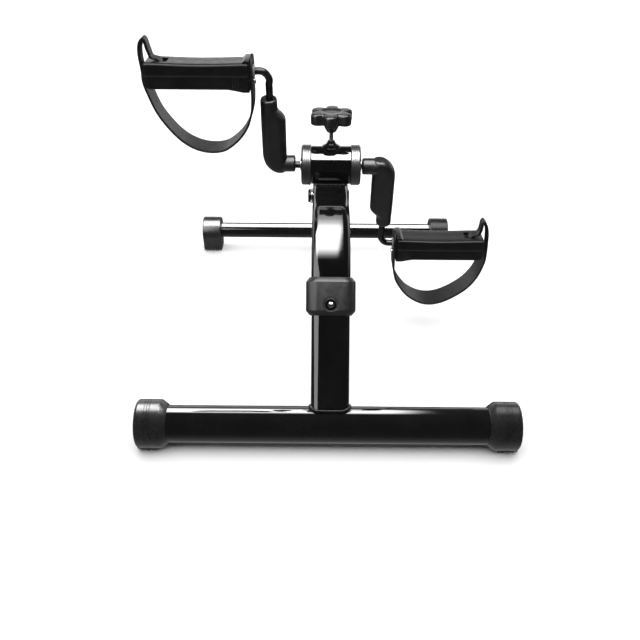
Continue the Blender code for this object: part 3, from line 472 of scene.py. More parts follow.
bend_r = (ARCH_Z - FRONT.z - math.cos(LEAN) * BEND_S) / (1 - math.sin(LEAN))
start = FRONT + U * BEND_S
centre = start - N * bend_r
stations = [(FRONT + U * JOINT_S, N, *ARCH)]
stations += [(FRONT + U * (JOINT_S + (BEND_S - JOINT_S) * k / 4), N, *ARCH) for k in range(1, 5)]
STEPS = 44
for k in range(1, STEPS + 1):
    a = (math.pi / 2 - LEAN) * k / STEPS
    n = Vector((0, -math.cos(LEAN + a), math.sin(LEAN + a)))
    # the tube spreads a little and its outer face flattens where it was bent
    spread = math.sin(math.pi * k / STEPS)
    stations.append((centre + n * (bend_r - 0.25 * MM * spread), n, ARCH[0],
                     ARCH[1] - 0.5 * MM * spread, ARCH[2] - 0.8 * MM * spread))
stations += [(Vector((0, centre.y + (ARCH_END_Y - centre.y) * k / 5, ARCH_Z)), Z, *ARCH) for k in range(1, 6)]
arch = pipe_loft("arch", stations, PAINT)
slot_front = HINGE.y - 25 * MM
cut(arch, block("slot", (ARCH[0] - 2 * WALL - 1 * MM, 80 * MM, 20 * MM),
                Vector((0, slot_front + 0.04, ARCH_Z - ARCH[1] / 2 - 0.01 + 4 * MM))))
cut(arch, plug(4 * MM + GAP, -0.025, 0.025, along_x(HINGE)))
cut(arch, plug(6 * MM, 0.015, 0.025, along_x(HINGE)))
cut(arch, plug(4.3 * MM, 4 * MM, 14 * MM, button_at))
stand_for(arch, "arch_tube", "frame")

# weld round the leg on the front bar, and along the barrel on the arch
loop = []
for a, b in rounded_rect(LEG[0] + 0.6 * MM, LEG[1] + 0.6 * MM, LEG[2], 8):
    loop.append(BAR + X * a + N * b + U * (math.sqrt(FRONT_R ** 2 - b * b) + 0.3 * MM))
weld_bead("leg_weld", loop,
          lambda p: (X * p.x + N * (p - BAR).dot(N) * 1.3 + U * 0.010).normalized(),
          2.1 * MM, "frame", closed=True)
for tag, dy in (("front", -1), ("rear", 1)):
    line = [Vector((x * MM, AXLE.y + dy * 7.2 * MM, 201.3 * MM)) for x in (-17.5, 17.5)]
    weld_bead("barrel_weld_" + tag, line, lambda p, d=dy: Vector((0, d, 0.35)).normalized(), 2.4 * MM, "frame")

# ------------------------------------------------------------ collar, snap button
bm = bmesh.new()
rings = []
LOW, HIGH = 113.0, 152.0
ends = [(0.0, 0.0), (0.12, 0.12), (0.45, 0.20), (4.45, 0.95), (4.85, 0.985), (5.4, 1.0)]


def collar_ring(s_mm, f, w0, t0, r0):
    w = (w0 + (50.5 - w0) * f) * MM
    t = (t0 + (37.0 - t0) * f) * MM
    r = (r0 + (12.0 - r0) * f) * MM
    return [bm.verts.new(FRONT + U * s_mm * MM + X * a + N * b) for a, b in rounded_rect(w, t, r, 12)]


for d, f in ends:
    rings.append(collar_ring(LOW + d, f, 41.6, 27.8, 9.2))
for d, f in reversed(ends):
    rings.append(collar_ring(HIGH - d, f, 42.4, 28.6, 9.4))
skin(bm, rings)
collar = emit("collar", bm, SATIN, 24)
low_bore = prism("bore", rounded_rect(LEG[0] + 0.4 * MM, LEG[1] + 0.4 * MM, LEG[2] + 0.2 * MM, 12), 20 * MM,
                 basis(FRONT + U * (JOINT_S - 20.6 * MM), X, N, -U))
high_bore = prism("bore", rounded_rect(ARCH[0] + 0.4 * MM, ARCH[1] + 0.4 * MM, ARCH[2] + 0.2 * MM, 12), 20 * MM,
                  basis(FRONT + U * (JOINT_S + 19.2 * MM), X, N, -U))
cut(collar, low_bore, angle=24)
cut(collar, high_bore, angle=24)
recess = lathe("recess", [(0, 30 * MM), (8.6 * MM, 30 * MM), (8.0 * MM, 18.6 * MM), (7.4 * MM, 18.1 * MM),
                          (6.7 * MM, 17.2 * MM), (5.9 * MM, 15.9 * MM), (5.5 * MM, 15.2 * MM), (5.5 * MM, 12 * MM),
                          (0, 12 * MM)], button_at, steps=64)
cut(collar, recess, angle=24)
stand_for(collar, "leg_collar", "frame")

dome = [(0, 16.6)]
dome += [(3.9 * math.sin(math.radians(a)), 13.4 + 3.2 * math.cos(math.radians(a))) for a in range(12, 91, 13)]
dome += [(4.0, 12.8), (4.0, 9.6), (5.4, 9.4), (5.5, 9.2), (5.5, 8.3), (5.4, 8.2), (0, 8.2)]
button = lathe("snap_button_dome", [(r * MM, h * MM) for r, h in dome], button_at, STEEL, steps=48)
stand_for(button, "snap_button", "button")

# ------------------------------------------------------------ crank housing
BARREL_R, BARREL_BORE = 21 * MM, 17.5 * MM
barrel = lathe("barrel", pipe_profile(BARREL_R, BARREL_BORE, -22 * MM, 22 * MM, 0.25 * MM), along_x(AXLE), PAINT,
               steps=160, ring=True)
cut(barrel, plug(2.8 * MM, 14 * MM, 40 * MM, Matrix.Translation(AXLE)))
stand_for(barrel, "crank_housing", "frame")

for side, s in SIDES:
    R, b0, b1 = 22.3, 22.3, 33.0
    prof = [(ROD_R / MM + 0.3, b1 - 1.2), (6.9, b1 - 1.2), (7.4, b1 - 0.9), (7.7, b1 - 0.3), (8.3, b1),
            (R - 3.2, b1)]
    prof += [(R - 3.2 + 3.2 * math.sin(math.radians(a)), b1 - 2.6 + 2.6 * math.cos(math.radians(a)))
             for a in range(15, 91, 15)]
    for x0 in (28.9, 27.0, 25.1):
        prof += [(R, x0 + 0.42), (R - 0.22, x0 + 0.18), (R - 0.22, x0 - 0.18), (R, x0 - 0.42)]
    prof += [(R, b0 + 0.5), (R - 0.5, b0), (17.2, b0), (17.2, b0 - 9), (ROD_R / MM + 0.3, b0 - 9)]
    bush = lathe("barrel_end_" + side, [(r * MM, h * MM) for r, h in prof], along_x(AXLE, s), BUSH,
                 steps=144, ring=True)
    stand_for(bush, "housing_bushing_" + side, "frame")
    # push-on ring with a dished face
    prof = [(4.05, 33.5), (5.0, 33.4), (6.2, 33.3), (6.6, 33.5), (6.6, 33.9), (6.2, 34.1), (5.2, 34.3), (4.4, 34.6),
            (4.05, 34.6)]
    ring = lathe("axle_washer_" + side, [(r * MM, h * MM) for r, h in prof], along_x(AXLE, s), STEEL,
                 steps=48, ring=True)
    stand_for(ring, "axle_ring_" + side, "crank")

prof = [(3.0, 28.5), (3.5, 28.5), (3.8, 28.2), (4.1, 27.6), (4.5, 26.6), (5.2, 25.4), (6.2, 24.2), (7.4, 23.2),
        (8.8, 22.4), (10.0, 21.9), (10.5, 21.3), (10.5, 15), (2.8, 15), (2.8, 28.3)]
boss = lathe("stud_boss", [(r * MM, h * MM) for r, h in prof], Matrix.Translation(AXLE), PAINT, steps=96, ring=True)
cut(boss, plug(BARREL_R + 0.02 * MM, -0.03, 0.03, along_x(AXLE), 160), angle=50)
stand_for(boss, "boss_nut", "frame")

# threaded stud: a single start thread, 0.8 mm pitch
bm = bmesh.new()
rings = []
turn = 28
low, high, pitch = 15.0, 52.0, 0.8
rows = int((high - low) / pitch * 8)
for i in range(rows + 1):
    h = low + (high - low) * i / rows
    ring = []
    for k in range(turn):
        phase = (h / pitch - k / turn) % 1.0
        tooth = 1 - abs(phase * 2 - 1)
        fade = min(1.0, (h - low) / 0.6, (high - h) / 0.6)
        r = (2.12 + 0.36 * min(1.0, max(0.0, tooth * 1.5 - 0.25)) * fade) * MM
        a = 2 * math.pi * k / turn
        ring.append(bm.verts.new(AXLE + Vector((r * math.cos(a), r * math.sin(a), h * MM))))
    rings.append(ring)
skin(bm, rings)
stud = emit("threaded_stud", bm, STEEL, 25)
stand_for(stud, "knob_stud", "knob")

# ------------------------------------------------------------ star knob
KR, VALLEY, TOP, BASE, FOOT = 24.0, 7.4, 60.8, 48.4, 38.0
LOBES, TURN = 6, math.radians(-26.2)
prof = [(0, TOP - 0.95), (5, TOP - 0.95), (9.4, TOP - 0.9), (10.0, TOP - 0.7), (10.5, TOP - 0.3), (11.1, TOP - 0.1),
        (12.6, TOP), (14.6, TOP), (16.4, TOP - 0.02), (18.2, TOP - 0.05), (19.8, TOP - 0.12)]
c = 2.7
prof += [(KR - c + c * math.sin(math.radians(a)), TOP - 0.15 - c + c * math.cos(math.radians(a)))
         for a in range(0, 91, 10)]
prof += [(KR, TOP - 5.5), (KR - 0.05, TOP - 8.0)]
c = 1.7
prof += [(KR - 0.1 - c + c * math.cos(math.radians(a)), BASE + c - c * math.sin(math.radians(a)))
         for a in range(0, 91, 15)]
prof += [(18.5, BASE), (14.5, BASE), (11.4, BASE), (9.8, BASE - 0.15), (9.1, BASE - 0.7), (8.8, BASE - 1.6),
         (8.5, BASE - 2.8), (8.0, BASE - 4.4), (7.2, BASE - 6.2), (6.3, BASE - 7.8), (5.6, BASE - 9.0),
         (4.9, FOOT + 0.3), (4.4, FOOT), (2.8, FOOT), (2.8, 53.3), (0, 53.3)]
bm = bmesh.new()
rings, steps = [], 256
for q, h in prof:
    if q == 0:
        rings.append([bm.verts.new(AXLE + Z * h * MM)] * steps)
        continue
    ring = []
    for k in range(steps):
        a = 2 * math.pi * k / steps
        dip = (0.5 - 0.5 * math.cos(LOBES * a)) ** 1.8
        r = (q - min(1.0, max(0.0, (q - 11.6) / 9.7)) * VALLEY * dip) * MM
        ring.append(bm.verts.new(AXLE + Vector((r * math.cos(a - TURN), r * math.sin(a - TURN), h * MM))))
    rings.append(ring)
skin(bm, rings, cap=False)
knob = emit("star_knob", bm, KNOB, 40)
stand_for(knob, "tension_knob", "knob")

# ------------------------------------------------------------ fold hinge and rear leg
prof = [(0, 24.6), (2.6, 24.6), (2.9, 24.9), (3.2, 25.3), (3.8, 25.4), (5.8, 25.4), (6.8, 25.1), (7.4, 24.6),
        (7.6, 23.9), (7.6, 22.4), (7.5, 22.3), (4.0, 22.3), (4.0, -19.8), (3.6, -20.2), (0, -20.2)]
bolt = lathe("pivot_bolt", [(r * MM, h * MM) for r, h in prof], along_x(HINGE, -1), DARK_STEEL, steps=64)
hexagon = [(2.4 * MM * math.cos(math.radians(60 * k)), 2.4 * MM * math.sin(math.radians(60 * k))) for k in range(6)]
cut(bolt, prism("hex", hexagon, 1.6 * MM, along_x(HINGE, -1) @ Matrix.Translation((0, 0, 24.4 * MM))))
stand_for(bolt, "hinge_bolt", "frame")
washer = lathe("pivot_washer", pipe_profile(8.3 * MM, 4.3 * MM, 20.3 * MM, 22 * MM, 0.3 * MM), along_x(HINGE, -1),
               STEEL, steps=64, ring=True)
stand_for(washer, "hinge_washer", "frame")
prof = [(4.3, 21.0), (6.6, 21.0), (7.2, 20.8), (7.4, 20.5), (7.4, 20.3), (5.7, 20.3), (5.7, 18.6), (4.3, 18.6)]
insert = lathe("pivot_insert", [(r * MM, h * MM) for r, h in prof], along_x(HINGE), DARK_STEEL, steps=64, ring=True)
stand_for(insert, "hinge_insert", "frame")

REAR_LEG = (30 * MM, 21 * MM, 5 * MM)
rear = pipe_loft("rear_leg", [(HINGE - RU * 12 * MM, RN, *REAR_LEG), (REAR - RU * 5 * MM, RN, *REAR_LEG)], PAINT)
end_box = block("end", (60 * MM, 30 * MM, 40 * MM), basis(HINGE - RU * 15 * MM, X, RU, RN))
cut(end_box, plug(REAR_LEG[1] / 2, -0.05, 0.05, along_x(HINGE), 96))
cut(rear, end_box)
cut(rear, plug(4.3 * MM, -0.025, 0.025, along_x(HINGE)))
cut(rear, plug(REAR_R + 0.05 * MM, -0.05, 0.05, along_x(REAR), 96))
stand_for(rear, "rear_leg_tube", "rear_leg")
loop = []
for a, b in rounded_rect(REAR_LEG[0] + 0.4 * MM, min(REAR_LEG[1], 2 * REAR_R) - 1.6 * MM, 4 * MM, 8):
    loop.append(REAR + X * a + RN * b - RU * (math.sqrt(max(REAR_R ** 2 - b * b, 0)) + 0.2 * MM))
weld_bead("rear_weld", loop,
          lambda p: (X * p.x + RN * (p - REAR).dot(RN) * 1.3 - RU * 0.008).normalized(),
          1.7 * MM, "rear_leg", closed=True)

bar = lathe("rear_bar", pipe_profile(REAR_R, REAR_R - WALL, -179 * MM, 179 * MM), along_x(REAR + X * REAR_X), PAINT,
            steps=112, ring=True)
stand_for(bar, "rear_foot_tube", "rear_leg")
for side, s in SIDES:
    out, inn, r = 183 * MM, 156 * MM, 19.8 * MM
    half_pad = 10.5 * MM
    pts = arc(0, REAR.z, r, -28, 208, 60)
    pts += [(-half_pad - 3 * MM, 2.5 * MM), (-half_pad, 0), (half_pad, 0), (half_pad + 3 * MM, 2.5 * MM)]
    foot = prism("rear_cap_" + side, pts, (out - inn) / 2,
                 basis(Vector((REAR_X + s * (out + inn) / 2, REAR.y, 0)), Y, Z, X), CAP)
    bevel(foot, 4 * MM, 6)
    cut(foot, plug(REAR_R + GAP, -179.3 * MM, 179.3 * MM, along_x(REAR + X * REAR_X), 96))
    # shallow round panel pressed in the outer face, and grip grooves in the pad
    cut(foot, lathe("dish", [(0, 190 * MM), (13 * MM, 190 * MM), (13 * MM, 182.9 * MM), (12.4 * MM, 182.4 * MM),
                             (0, 182.4 * MM)], along_x(REAR + X * REAR_X, s), steps=64))
    cut(foot, *[block("groove", (20 * MM, 1.4 * MM, 1.6 * MM), Vector((REAR_X + s * 169.5 * MM, REAR.y + dy * MM, 0)))
                for dy in (-5, 0, 5)])
    stand_for(foot, "rear_foot_cap_" + side, "rear_leg")


# ------------------------------------------------------------ cranks
def arm_path(s, direction):
    bend = 15 * MM
    arm_x = 64 * MM
    pts = [Vector((0, 0))]
    pts += [Vector(p) for p in arc(arm_x - bend, bend, bend, -90, 0, 18)]
    knuckle = [(arm_x, CRANK_R - 14 * MM), (arm_x - 0.6 * MM, CRANK_R - 10.5 * MM),
               (arm_x + 0.2 * MM, CRANK_R - 6.8 * MM), (arm_x + 2.6 * MM, CRANK_R - 3.2 * MM),
               (arm_x + 5.6 * MM, CRANK_R - 0.8 * MM), (arm_x + 9 * MM, CRANK_R), (arm_x + 12 * MM, CRANK_R)]
    pts += smooth_path(knuckle, 6)
    pts += [Vector((179.6 * MM, CRANK_R))]
    return [AXLE + X * (s * p.x + (CRANK_X if p.x else 0)) + direction * p.y for p in pts]


left_half, right_half = arm_path(-1, UP), arm_path(1, -UP)
path = left_half[:0:-1] + right_half
radii = [ROD_R] * len(path)
path = [path[0] - X * 0.9 * MM] + path + [path[-1] + X * 0.9 * MM]
radii = [ROD_R - 0.8 * MM] + radii + [ROD_R - 0.8 * MM]
rod = sweep("crank_bar", path, radii, DARK_STEEL, sides=32)
stand_for(rod, "crank_rod", "crank")

for side, s, direction in (("left", -1, UP), ("right", 1, -UP)):
    # column of the sleeve: oval sections up the arm, with the elbow at its foot
    local = basis(AXLE + X * CRANK_X, X * s, direction, (X * s).cross(direction))
    low, xo, xi = -7.6, 74.3, 47.9
    bm = bmesh.new()
    rings = []
    heights = [low, low + 0.35, low + 1.0, low + 2.0, low + 3.4, low + 5.2, low + 7.4, low + 10, low + 13, low + 16.5,
               low + 20, low + 24, 25, 35, 45, 54, 58, 60.5, 62.5, 64.5, 66.2, 67.6, 69.0, 70.6, 72.5, 75, 78, 80.5, 81.9,
               82.7, 83.0]
    for d in heights:
        rise = min(1.0, (d - low) / 24.0)
        round_off = 1 - math.sqrt(max(0.0, 1 - (1 - rise) ** 2.3))
        outer = xo - 17.5 * round_off
        inner = xi + 0.0
        depth = 19.0
        if d < low + 7:
            k = 1 - (d - low) / 7.0
            depth -= 9.0 * (1 - math.sqrt(max(0.0, 1 - k * k)))
            inner += 2.6 * (1 - math.sqrt(max(0.0, 1 - k * k)))
        if d > 58:
            k = min(1.0, (d - 58) / 13.5)
            inner += 8.3 * (k * k * (3 - 2 * k)) ** 1.25
            outer -= 0.3 * k
            depth -= 1.4 * k
        if d > 80:
            k = (d - 80) / 3.0
            pull = 1.7 * (1 - math.sqrt(max(0.0, 1 - k * k)))
            inner += pull
            outer -= pull
            depth -= 2 * pull
        w = (outer - inner) * MM
        t = depth * MM
        r = min(w, t) / 2 * 0.92
        cx = (outer + inner) / 2 * MM
        rings.append([bm.verts.new(local @ Vector((cx + a, d * MM, b))) for a, b in rounded_rect(w, t, r, 12)])
    skin(bm, rings)
    sleeve = emit("crank_cover_" + side, bm, SLEEVE, 60)
    stub_in = 38.4 if s < 0 else 36.3
    prof = [(0, stub_in), (7.4, stub_in), (8.4, stub_in + 0.35), (9.0, stub_in + 1.0), (9.2, stub_in + 1.9), (9.2, 60),
            (0, 60)]
    stub_place = along_x(AXLE + X * CRANK_X + direction * 1.6 * MM, s)
    cut(sleeve, lathe("stub", [(r * MM, h * MM) for r, h in prof], stub_place, steps=72), op='UNION', angle=60)
    melt(sleeve, 0.55 * MM, 5)
    # the rod's way through, with a lip at both mouths
    cut(sleeve, sweep("bore", path, ROD_R + 0.3 * MM, None, sides=24), angle=60)
    mouth = Matrix.Translation(AXLE + X * (s * 64 * MM + CRANK_X)) @ basis(Vector((0, 0, 0)), X, direction.cross(X), direction)
    cut(sleeve, lathe("mouth", [(0, 90 * MM), (5.8 * MM, 90 * MM), (5.6 * MM, 82.4 * MM), (5.0 * MM, 82.0 * MM),
                                (0, 82.0 * MM)], mouth, steps=48), angle=60)
    stand_for(sleeve, "crank_sleeve_" + side, "crank")

# ------------------------------------------------------------ pedals
# distance from the mid plane, height over the spindle, width, thickness
STRAPS = {
    "left": [(170.8, 9.2, 14, 2.0), (172.8, 11.3, 14, 2.2), (175.2, 12.9, 14, 2.2), (178.4, 13.7, 14, 2.3),
             (180.6, 15.2, 14, 2.6), (181.4, 18.6, 14, 3.0), (182.6, 22.6, 14, 3.2), (183.6, 27.0, 14, 3.2),
             (185.0, 31.0, 14, 3.2), (187.4, 33.0, 14, 3.2), (190.6, 31.0, 14, 3.2), (193.3, 25.2, 14, 3.2),
             (194.0, 15.4, 14, 3.0), (192.4, 1.0, 16, 2.5), (191.4, -8.0, 24, 2.2), (188.0, -18.8, 29, 2.2),
             (177.6, -43.9, 29, 2.2), (157.8, -68.2, 31, 2.2), (136.2, -79.8, 34, 2.2), (113.0, -80.0, 35, 2.2),
             (96.0, -68.8, 34, 2.2), (85.4, -54.6, 34, 2.2), (80.4, -39.0, 34, 2.2), (79.2, -26.0, 34, 2.2),
             (79.2, -12.0, 34, 2.2), (79.2, 0.0, 34, 2.2)],
    "right": [(170.8, 9.2, 14, 2.0), (172.8, 11.3, 14, 2.2), (175.2, 12.9, 14, 2.2), (178.4, 13.7, 14, 2.3),
              (181.0, 15.4, 14, 2.6), (182.6, 18.8, 14, 3.0), (183.3, 23.6, 14, 3.2), (183.8, 28.2, 14, 3.2),
              (185.6, 31.4, 14, 3.2), (188.4, 30.8, 14, 3.2), (191.8, 25.4, 14, 3.2), (194.0, 15.4, 14, 3.0),
              (194.4, 1.0, 16, 2.5), (193.6, -8.0, 24, 2.2), (191.3, -20.0, 33, 2.2), (183.3, -41.2, 34, 2.2),
              (168.5, -59.4, 34, 2.2), (143.1, -75.0, 34, 2.2), (120.7, -77.6, 34, 2.2), (99.5, -67.4, 31, 2.2),
              (85.2, -49.4, 29, 2.2), (80.2, -34.0, 31, 2.2), (79.2, -22.0, 34, 2.2), (79.2, -12.0, 34, 2.2),
              (79.2, 0.0, 34, 2.2)]}
LUG_R, STRAP_T = 17.0, 2.2


def strap_band(name, ctrl, place):
    """A band with soft edges lofted along its path, ending in a round lug about the spindle."""
    path = smooth_path(ctrl, 9)
    path += [Vector((79.2, LUG_R * math.sin(math.radians(a)), 2 * LUG_R * math.cos(math.radians(a)), STRAP_T))
             for a in (8, 16, 24, 32, 40, 47, 54, 60, 66, 71, 76, 80, 83.5)]
    bm = bmesh.new()
    rings = []
    for k, p in enumerate(path):
        t = path[min(k + 1, len(path) - 1)].xy - path[max(k - 1, 0)].xy
        t.normalize()
        inward = Vector((t.y, -t.x))
        # end of the tongue tapers to a tip, the rest keeps its full thickness
        thick = p.w * min(1.0, 0.45 + 0.016 * k)
        half = p.z / 2 * min(1.0, 0.84 + 0.03 * k)
        e = min(0.8, thick * 0.38, half * 0.5)
        section = []
        flat = half - e
        for cx, cy, a0 in ((flat, e, -90), (flat, thick - e, 0), (-flat, thick - e, 90), (-flat, e, 180)):
            if a0 == 90:
                section += [(flat * f, thick) for f in (0.85, 0.45, 0, -0.45, -0.85)]
            for i in range(4):
                a = math.radians(a0 + 30 * i)
                section.append((cx + e * math.cos(a), cy + e * math.sin(a)))
        section += [(flat * f, 0) for f in (-0.85, -0.45, 0, 0.45, 0.85)]
        ring = []
        for u, v in section:
            q = p.xy + inward * v
            ring.append(bm.verts.new(place @ (Vector((q.x, q.y, u)) * MM)))
        rings.append(ring)
    skin(bm, rings)
    return emit(name, bm, RUBBER, 50)


def pedal_section(x, place, bm):
    """One section across the pedal body: crowned top edges, a deep lip, a narrower lower block."""
    end = min(1.0, max(0.0, (x - 185.8) / 1.8))
    tuck = 1.7 * (1 - math.sqrt(max(0.0, 1 - end * end)))
    toe = min(1.0, max(0.0, (x - 182.1) / 5.5))
    sag = 1.1 * math.sin(math.pi * min(1.0, max(0.0, (x - 88) / 90.0))) ** 1.2
    top = 10.8 - sag - tuck * 0.6
    half = 18.0 - tuck
    low = -15.2 + 5.5 * (1 - math.sqrt(max(0.0, 1 - toe * toe)))
    pts = [(0, top - 0.25), (6, top - 0.15), (half - 4.4, top)]
    pts += [(half - 0.35 - 3.6 + 3.6 * math.sin(math.radians(a)), top - 3.6 + 3.6 * math.cos(math.radians(a)))
            for a in (18, 36, 54, 72, 88)]
    pts += [(half, 1.4), (half, -1.4)]
    pts += [(half - 0.6 + 0.6 * math.cos(math.radians(a)), -1.6 - 0.6 * math.sin(math.radians(a))) for a in (30, 60, 90)]
    pts += [(half - 0.7, -2.5), (half - 0.7, -3.4), (half - 0.75, low / 2 - 2), (half - 0.8, low + 2.4), (half - 0.8, low + 1.3)]
    pts += [(half - 0.8 - 1.2 + 1.2 * math.cos(math.radians(a)), low + 1.2 - 1.2 * math.sin(math.radians(a)))
            for a in (30, 60, 90)]
    pts += [(half - 4, low), (6, low), (0, low)]
    ring = [(-y, z) for y, z in reversed(pts[1:-1])] + pts
    return [bm.verts.new(place @ (Vector((x, z, y)) * MM)) for y, z in ring]


for side, s in SIDES:
    body = "pedal_" + side
    spindle = AXLE + X * CRANK_X + (UP if s < 0 else -UP) * CRANK_R
    px = X * s
    place = basis(spindle, px, Z, px.cross(Z))
    axis = along_x(spindle, s)
    bm = bmesh.new()
    stops = [84.0, 86, 90] + [92 + 4 * k for k in range(23)] + [182.1, 183.4, 184.6, 185.4, 185.8, 186.3, 186.8,
                                                                187.2, 187.5, 187.6]
    skin(bm, [pedal_section(x, place, bm) for x in stops])
    pedal = emit("pedal_block_" + side, bm, PEDAL, 40)
    plate_pts = [(82, -17.2), (83, -18.2), (88.6, -18.2), (92.5, -17.5), (97, -16.6), (102, -15.8), (106, -15.25),
                 (106, -9), (91, -9), (91, 9.8), (87.4, 13.4), (82, 13.4)]
    plate = prism("plate", [(a * MM, b * MM) for a, b in plate_pts], 16 * MM, place)
    bevel(plate, 1.3 * MM, 4, 25)
    cut(pedal, plate, op='UNION', angle=40)
    # short upright ribs beside the end plate, front and back
    for rx in (93.4, 96.2, 99.0):
        for f in (-1, 1):
            rib = prism("rib", [(a * MM, b * MM) for a, b in
                                ((rx - 0.7, -12.5), (rx + 0.7, -12.5), (rx + 0.7, -2.0), (rx - 0.7, -2.0))],
                        1.5 * MM, place @ Matrix.Translation((0, 0, f * 16.0 * MM)))
            bevel(rib, 0.45 * MM, 3)
            cut(pedal, rib, op='UNION', angle=40)
    cut(pedal, lathe("bore", [(r * MM, h * MM) for r, h in
                              [(0, 210), (7.3, 210), (7.3, 187.8), (6.9, 187.0), (6.5, 186.2), (6.5, 181), (7, 181),
                               (7, 174.4), (4.25, 174.4), (4.25, 93), (6.6, 93), (6.6, 70), (0, 70)]], axis, steps=64),
        angle=40)
    slot_mid = (177.2 + 165.5) / 2
    slot = block("slot", (11.7 * MM, 17 * MM, 10 * MM), spindle + px * slot_mid * MM + Z * 11.7 * MM)
    bevel(slot, 0.6 * MM, 3)
    cut(pedal, slot, angle=40)
    cut(pedal, plug(1.8 * MM, 70 * MM, 91 * MM, Matrix.Translation((0, 0, -10.2 * MM)) @ axis, 32), angle=40)
    stand_for(pedal, "pedal_body_" + side, body)

    strap = strap_band("strap_" + side, STRAPS[side], place)
    cut(strap, plug(6.9 * MM, 70 * MM, 83 * MM, axis, 64), angle=50)
    cut(strap, plug(1.8 * MM, 70 * MM, 91 * MM, Matrix.Translation((0, 0, -10.2 * MM)) @ axis, 32), angle=50)
    stand_for(strap, "pedal_strap_" + side, body)

    prof = [(0, 90.4), (0.5, 90.2), (1.5, 88.8), (1.5, 78.9), (3.1, 78.9), (3.2, 78.7), (3.2, 78.3), (2.9, 77.7),
            (2.2, 77.1), (1.2, 76.85), (0, 76.8)]
    screw_at = Matrix.Translation((0, 0, -10.2 * MM)) @ axis
    screw = lathe("lug_screw_" + side, [(r * MM, h * MM) for r, h in prof], screw_at, STEEL, steps=40)
    for turn_by in (0, 90):
        cut(screw, block("cross", (3.2 * MM, 0.7 * MM, 2.2 * MM),
                         screw_at @ Matrix.Translation((0, 0, 76.8 * MM)) @ Matrix.Rotation(math.radians(turn_by + 20), 4, 'Z')))
    stand_for(screw, "strap_screw_" + side, body)

    prof = pipe_profile(6.3, 4.05, 77.8, 92.5, 0.35)
    bush = lathe("spindle_bush_" + side, [(r * MM, h * MM) for r, h in prof], axis, NYLON, steps=56, ring=True)
    stand_for(bush, "pedal_bushing_" + side, body)
    # star lock washer on the spindle's end
    bm = bmesh.new()
    rings = []
    for r, h, teeth in ((6.2, 175.7, 0), (6.2, 176.1, 0), (5.6, 176.3, 0), (4.1, 176.8, 1), (4.05, 176.5, 1),
                        (5.5, 175.5, 0)):
        ring = []
        for k in range(72):
            a = 2 * math.pi * k / 72
            rr = r + (0.55 * (0.5 + 0.5 * math.cos(8 * a)) ** 3 if teeth else 0)
            ring.append(bm.verts.new(axis @ (Vector((rr * math.cos(a), rr * math.sin(a), h)) * MM)))
        rings.append(ring)
    skin(bm, rings, closed=True)
    clip = emit("spindle_lock_" + side, bm, STEEL, 35)
    stand_for(clip, "spindle_clip_" + side, "crank")

# ------------------------------------------------------------ small parts that keep their shape
for node, look in (("brake_drum", NYLON), ("brake_shoe", BRAKE), ("hinge_sleeve", STEEL),
                   ("hinge_spacer_left", NYLON), ("hinge_spacer_right", NYLON), ("leg_stop_pin", STEEL),
                   ("snap_button_spring", STEEL)):
    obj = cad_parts[node]
    if not obj.material_slots:
        obj.data.materials.append(look)
    for slot_ in obj.material_slots:
        slot_.material = look

# ------------------------------------------------------------ floor and light
bm = bmesh.new()
bmesh.ops.create_grid(bm, x_segments=2, y_segments=2, size=6.0)
bmesh.ops.translate(bm, vec=(0, 1.5, -0.0002), verts=bm.verts[:])
floor = emit("studio_floor", bm)
floor_mat = surface("floor_white", (0.88, 0.88, 0.88), (0.90, 0.90, 0.90), (0.8, 0.9), ior=1.1, blotch=3, haze=4,
                    grain=200, depth=0.01)
floor.data.materials.append(floor_mat)
floor.visible_glossy = False

# the room: bright low down behind the object, dim above and in front, a soft glow from below
world = bpy.data.worlds.new("studio")
bpy.context.scene.world = world
world.use_nodes = True
wn, wl = world.node_tree.nodes, world.node_tree.links
coords = wn.new("ShaderNodeTexCoord")
split = wn.new("ShaderNodeSeparateXYZ")
wl.new(coords.outputs["Generated"], split.inputs[0])


def graded(tree_nodes, stops):
    """A grey ramp through (position, value) stops."""
    ramp = tree_nodes.new("ShaderNodeValToRGB")
    elements = ramp.color_ramp.elements
    elements[0].position, elements[1].position = stops[0][0], stops[-1][0]
    elements[0].color = (stops[0][1],) * 3 + (1,)
    elements[1].color = (stops[-1][1],) * 3 + (1,)
    for place_, value in stops[1:-1]:
        elements.new(place_).color = (value, value, value, 1)
    return ramp


def band(stops):
    """Brightness by the height of the direction, from -1 straight down to 1 straight up."""
    rng = wn.new("ShaderNodeMapRange")
    rng.inputs["From Min"].default_value = -1.0
    rng.inputs["From Max"].default_value = 1.0
    wl.new(split.outputs["Z"], rng.inputs["Value"])
    ramp = graded(wn, [((z + 1) / 2, v) for z, v in stops])
    wl.new(rng.outputs["Result"], ramp.inputs["Fac"])
    return ramp.outputs["Color"]


around = band([(-1.0, 0.60), (-0.82, 0.45), (-0.55, 0.12), (-0.1, 0.06), (0.1, 0.04), (0.6, 0.02), (1.0, 0.02)])
behind = band([(-1.0, 0.0), (-0.12, 0.0), (-0.03, 1.6), (0.24, 1.6), (0.33, 0.5), (0.44, 0.14), (0.62, 0.0),
               (1.0, 0.0)])
front_back = wn.new("ShaderNodeMapRange")
front_back.interpolation_type = 'SMOOTHSTEP'
front_back.inputs["From Min"].default_value = -0.1
front_back.inputs["From Max"].default_value = 0.5
wl.new(split.outputs["Y"], front_back.inputs["Value"])
glow = wn.new("ShaderNodeMix")
glow.data_type = 'RGBA'
glow.blend_type = 'ADD'
wl.new(front_back.outputs["Result"], glow.inputs["Factor"])
wl.new(around, glow.inputs[6])
wl.new(behind, glow.inputs[7])
wl.new(glow.outputs[2], wn["Background"].inputs["Color"])


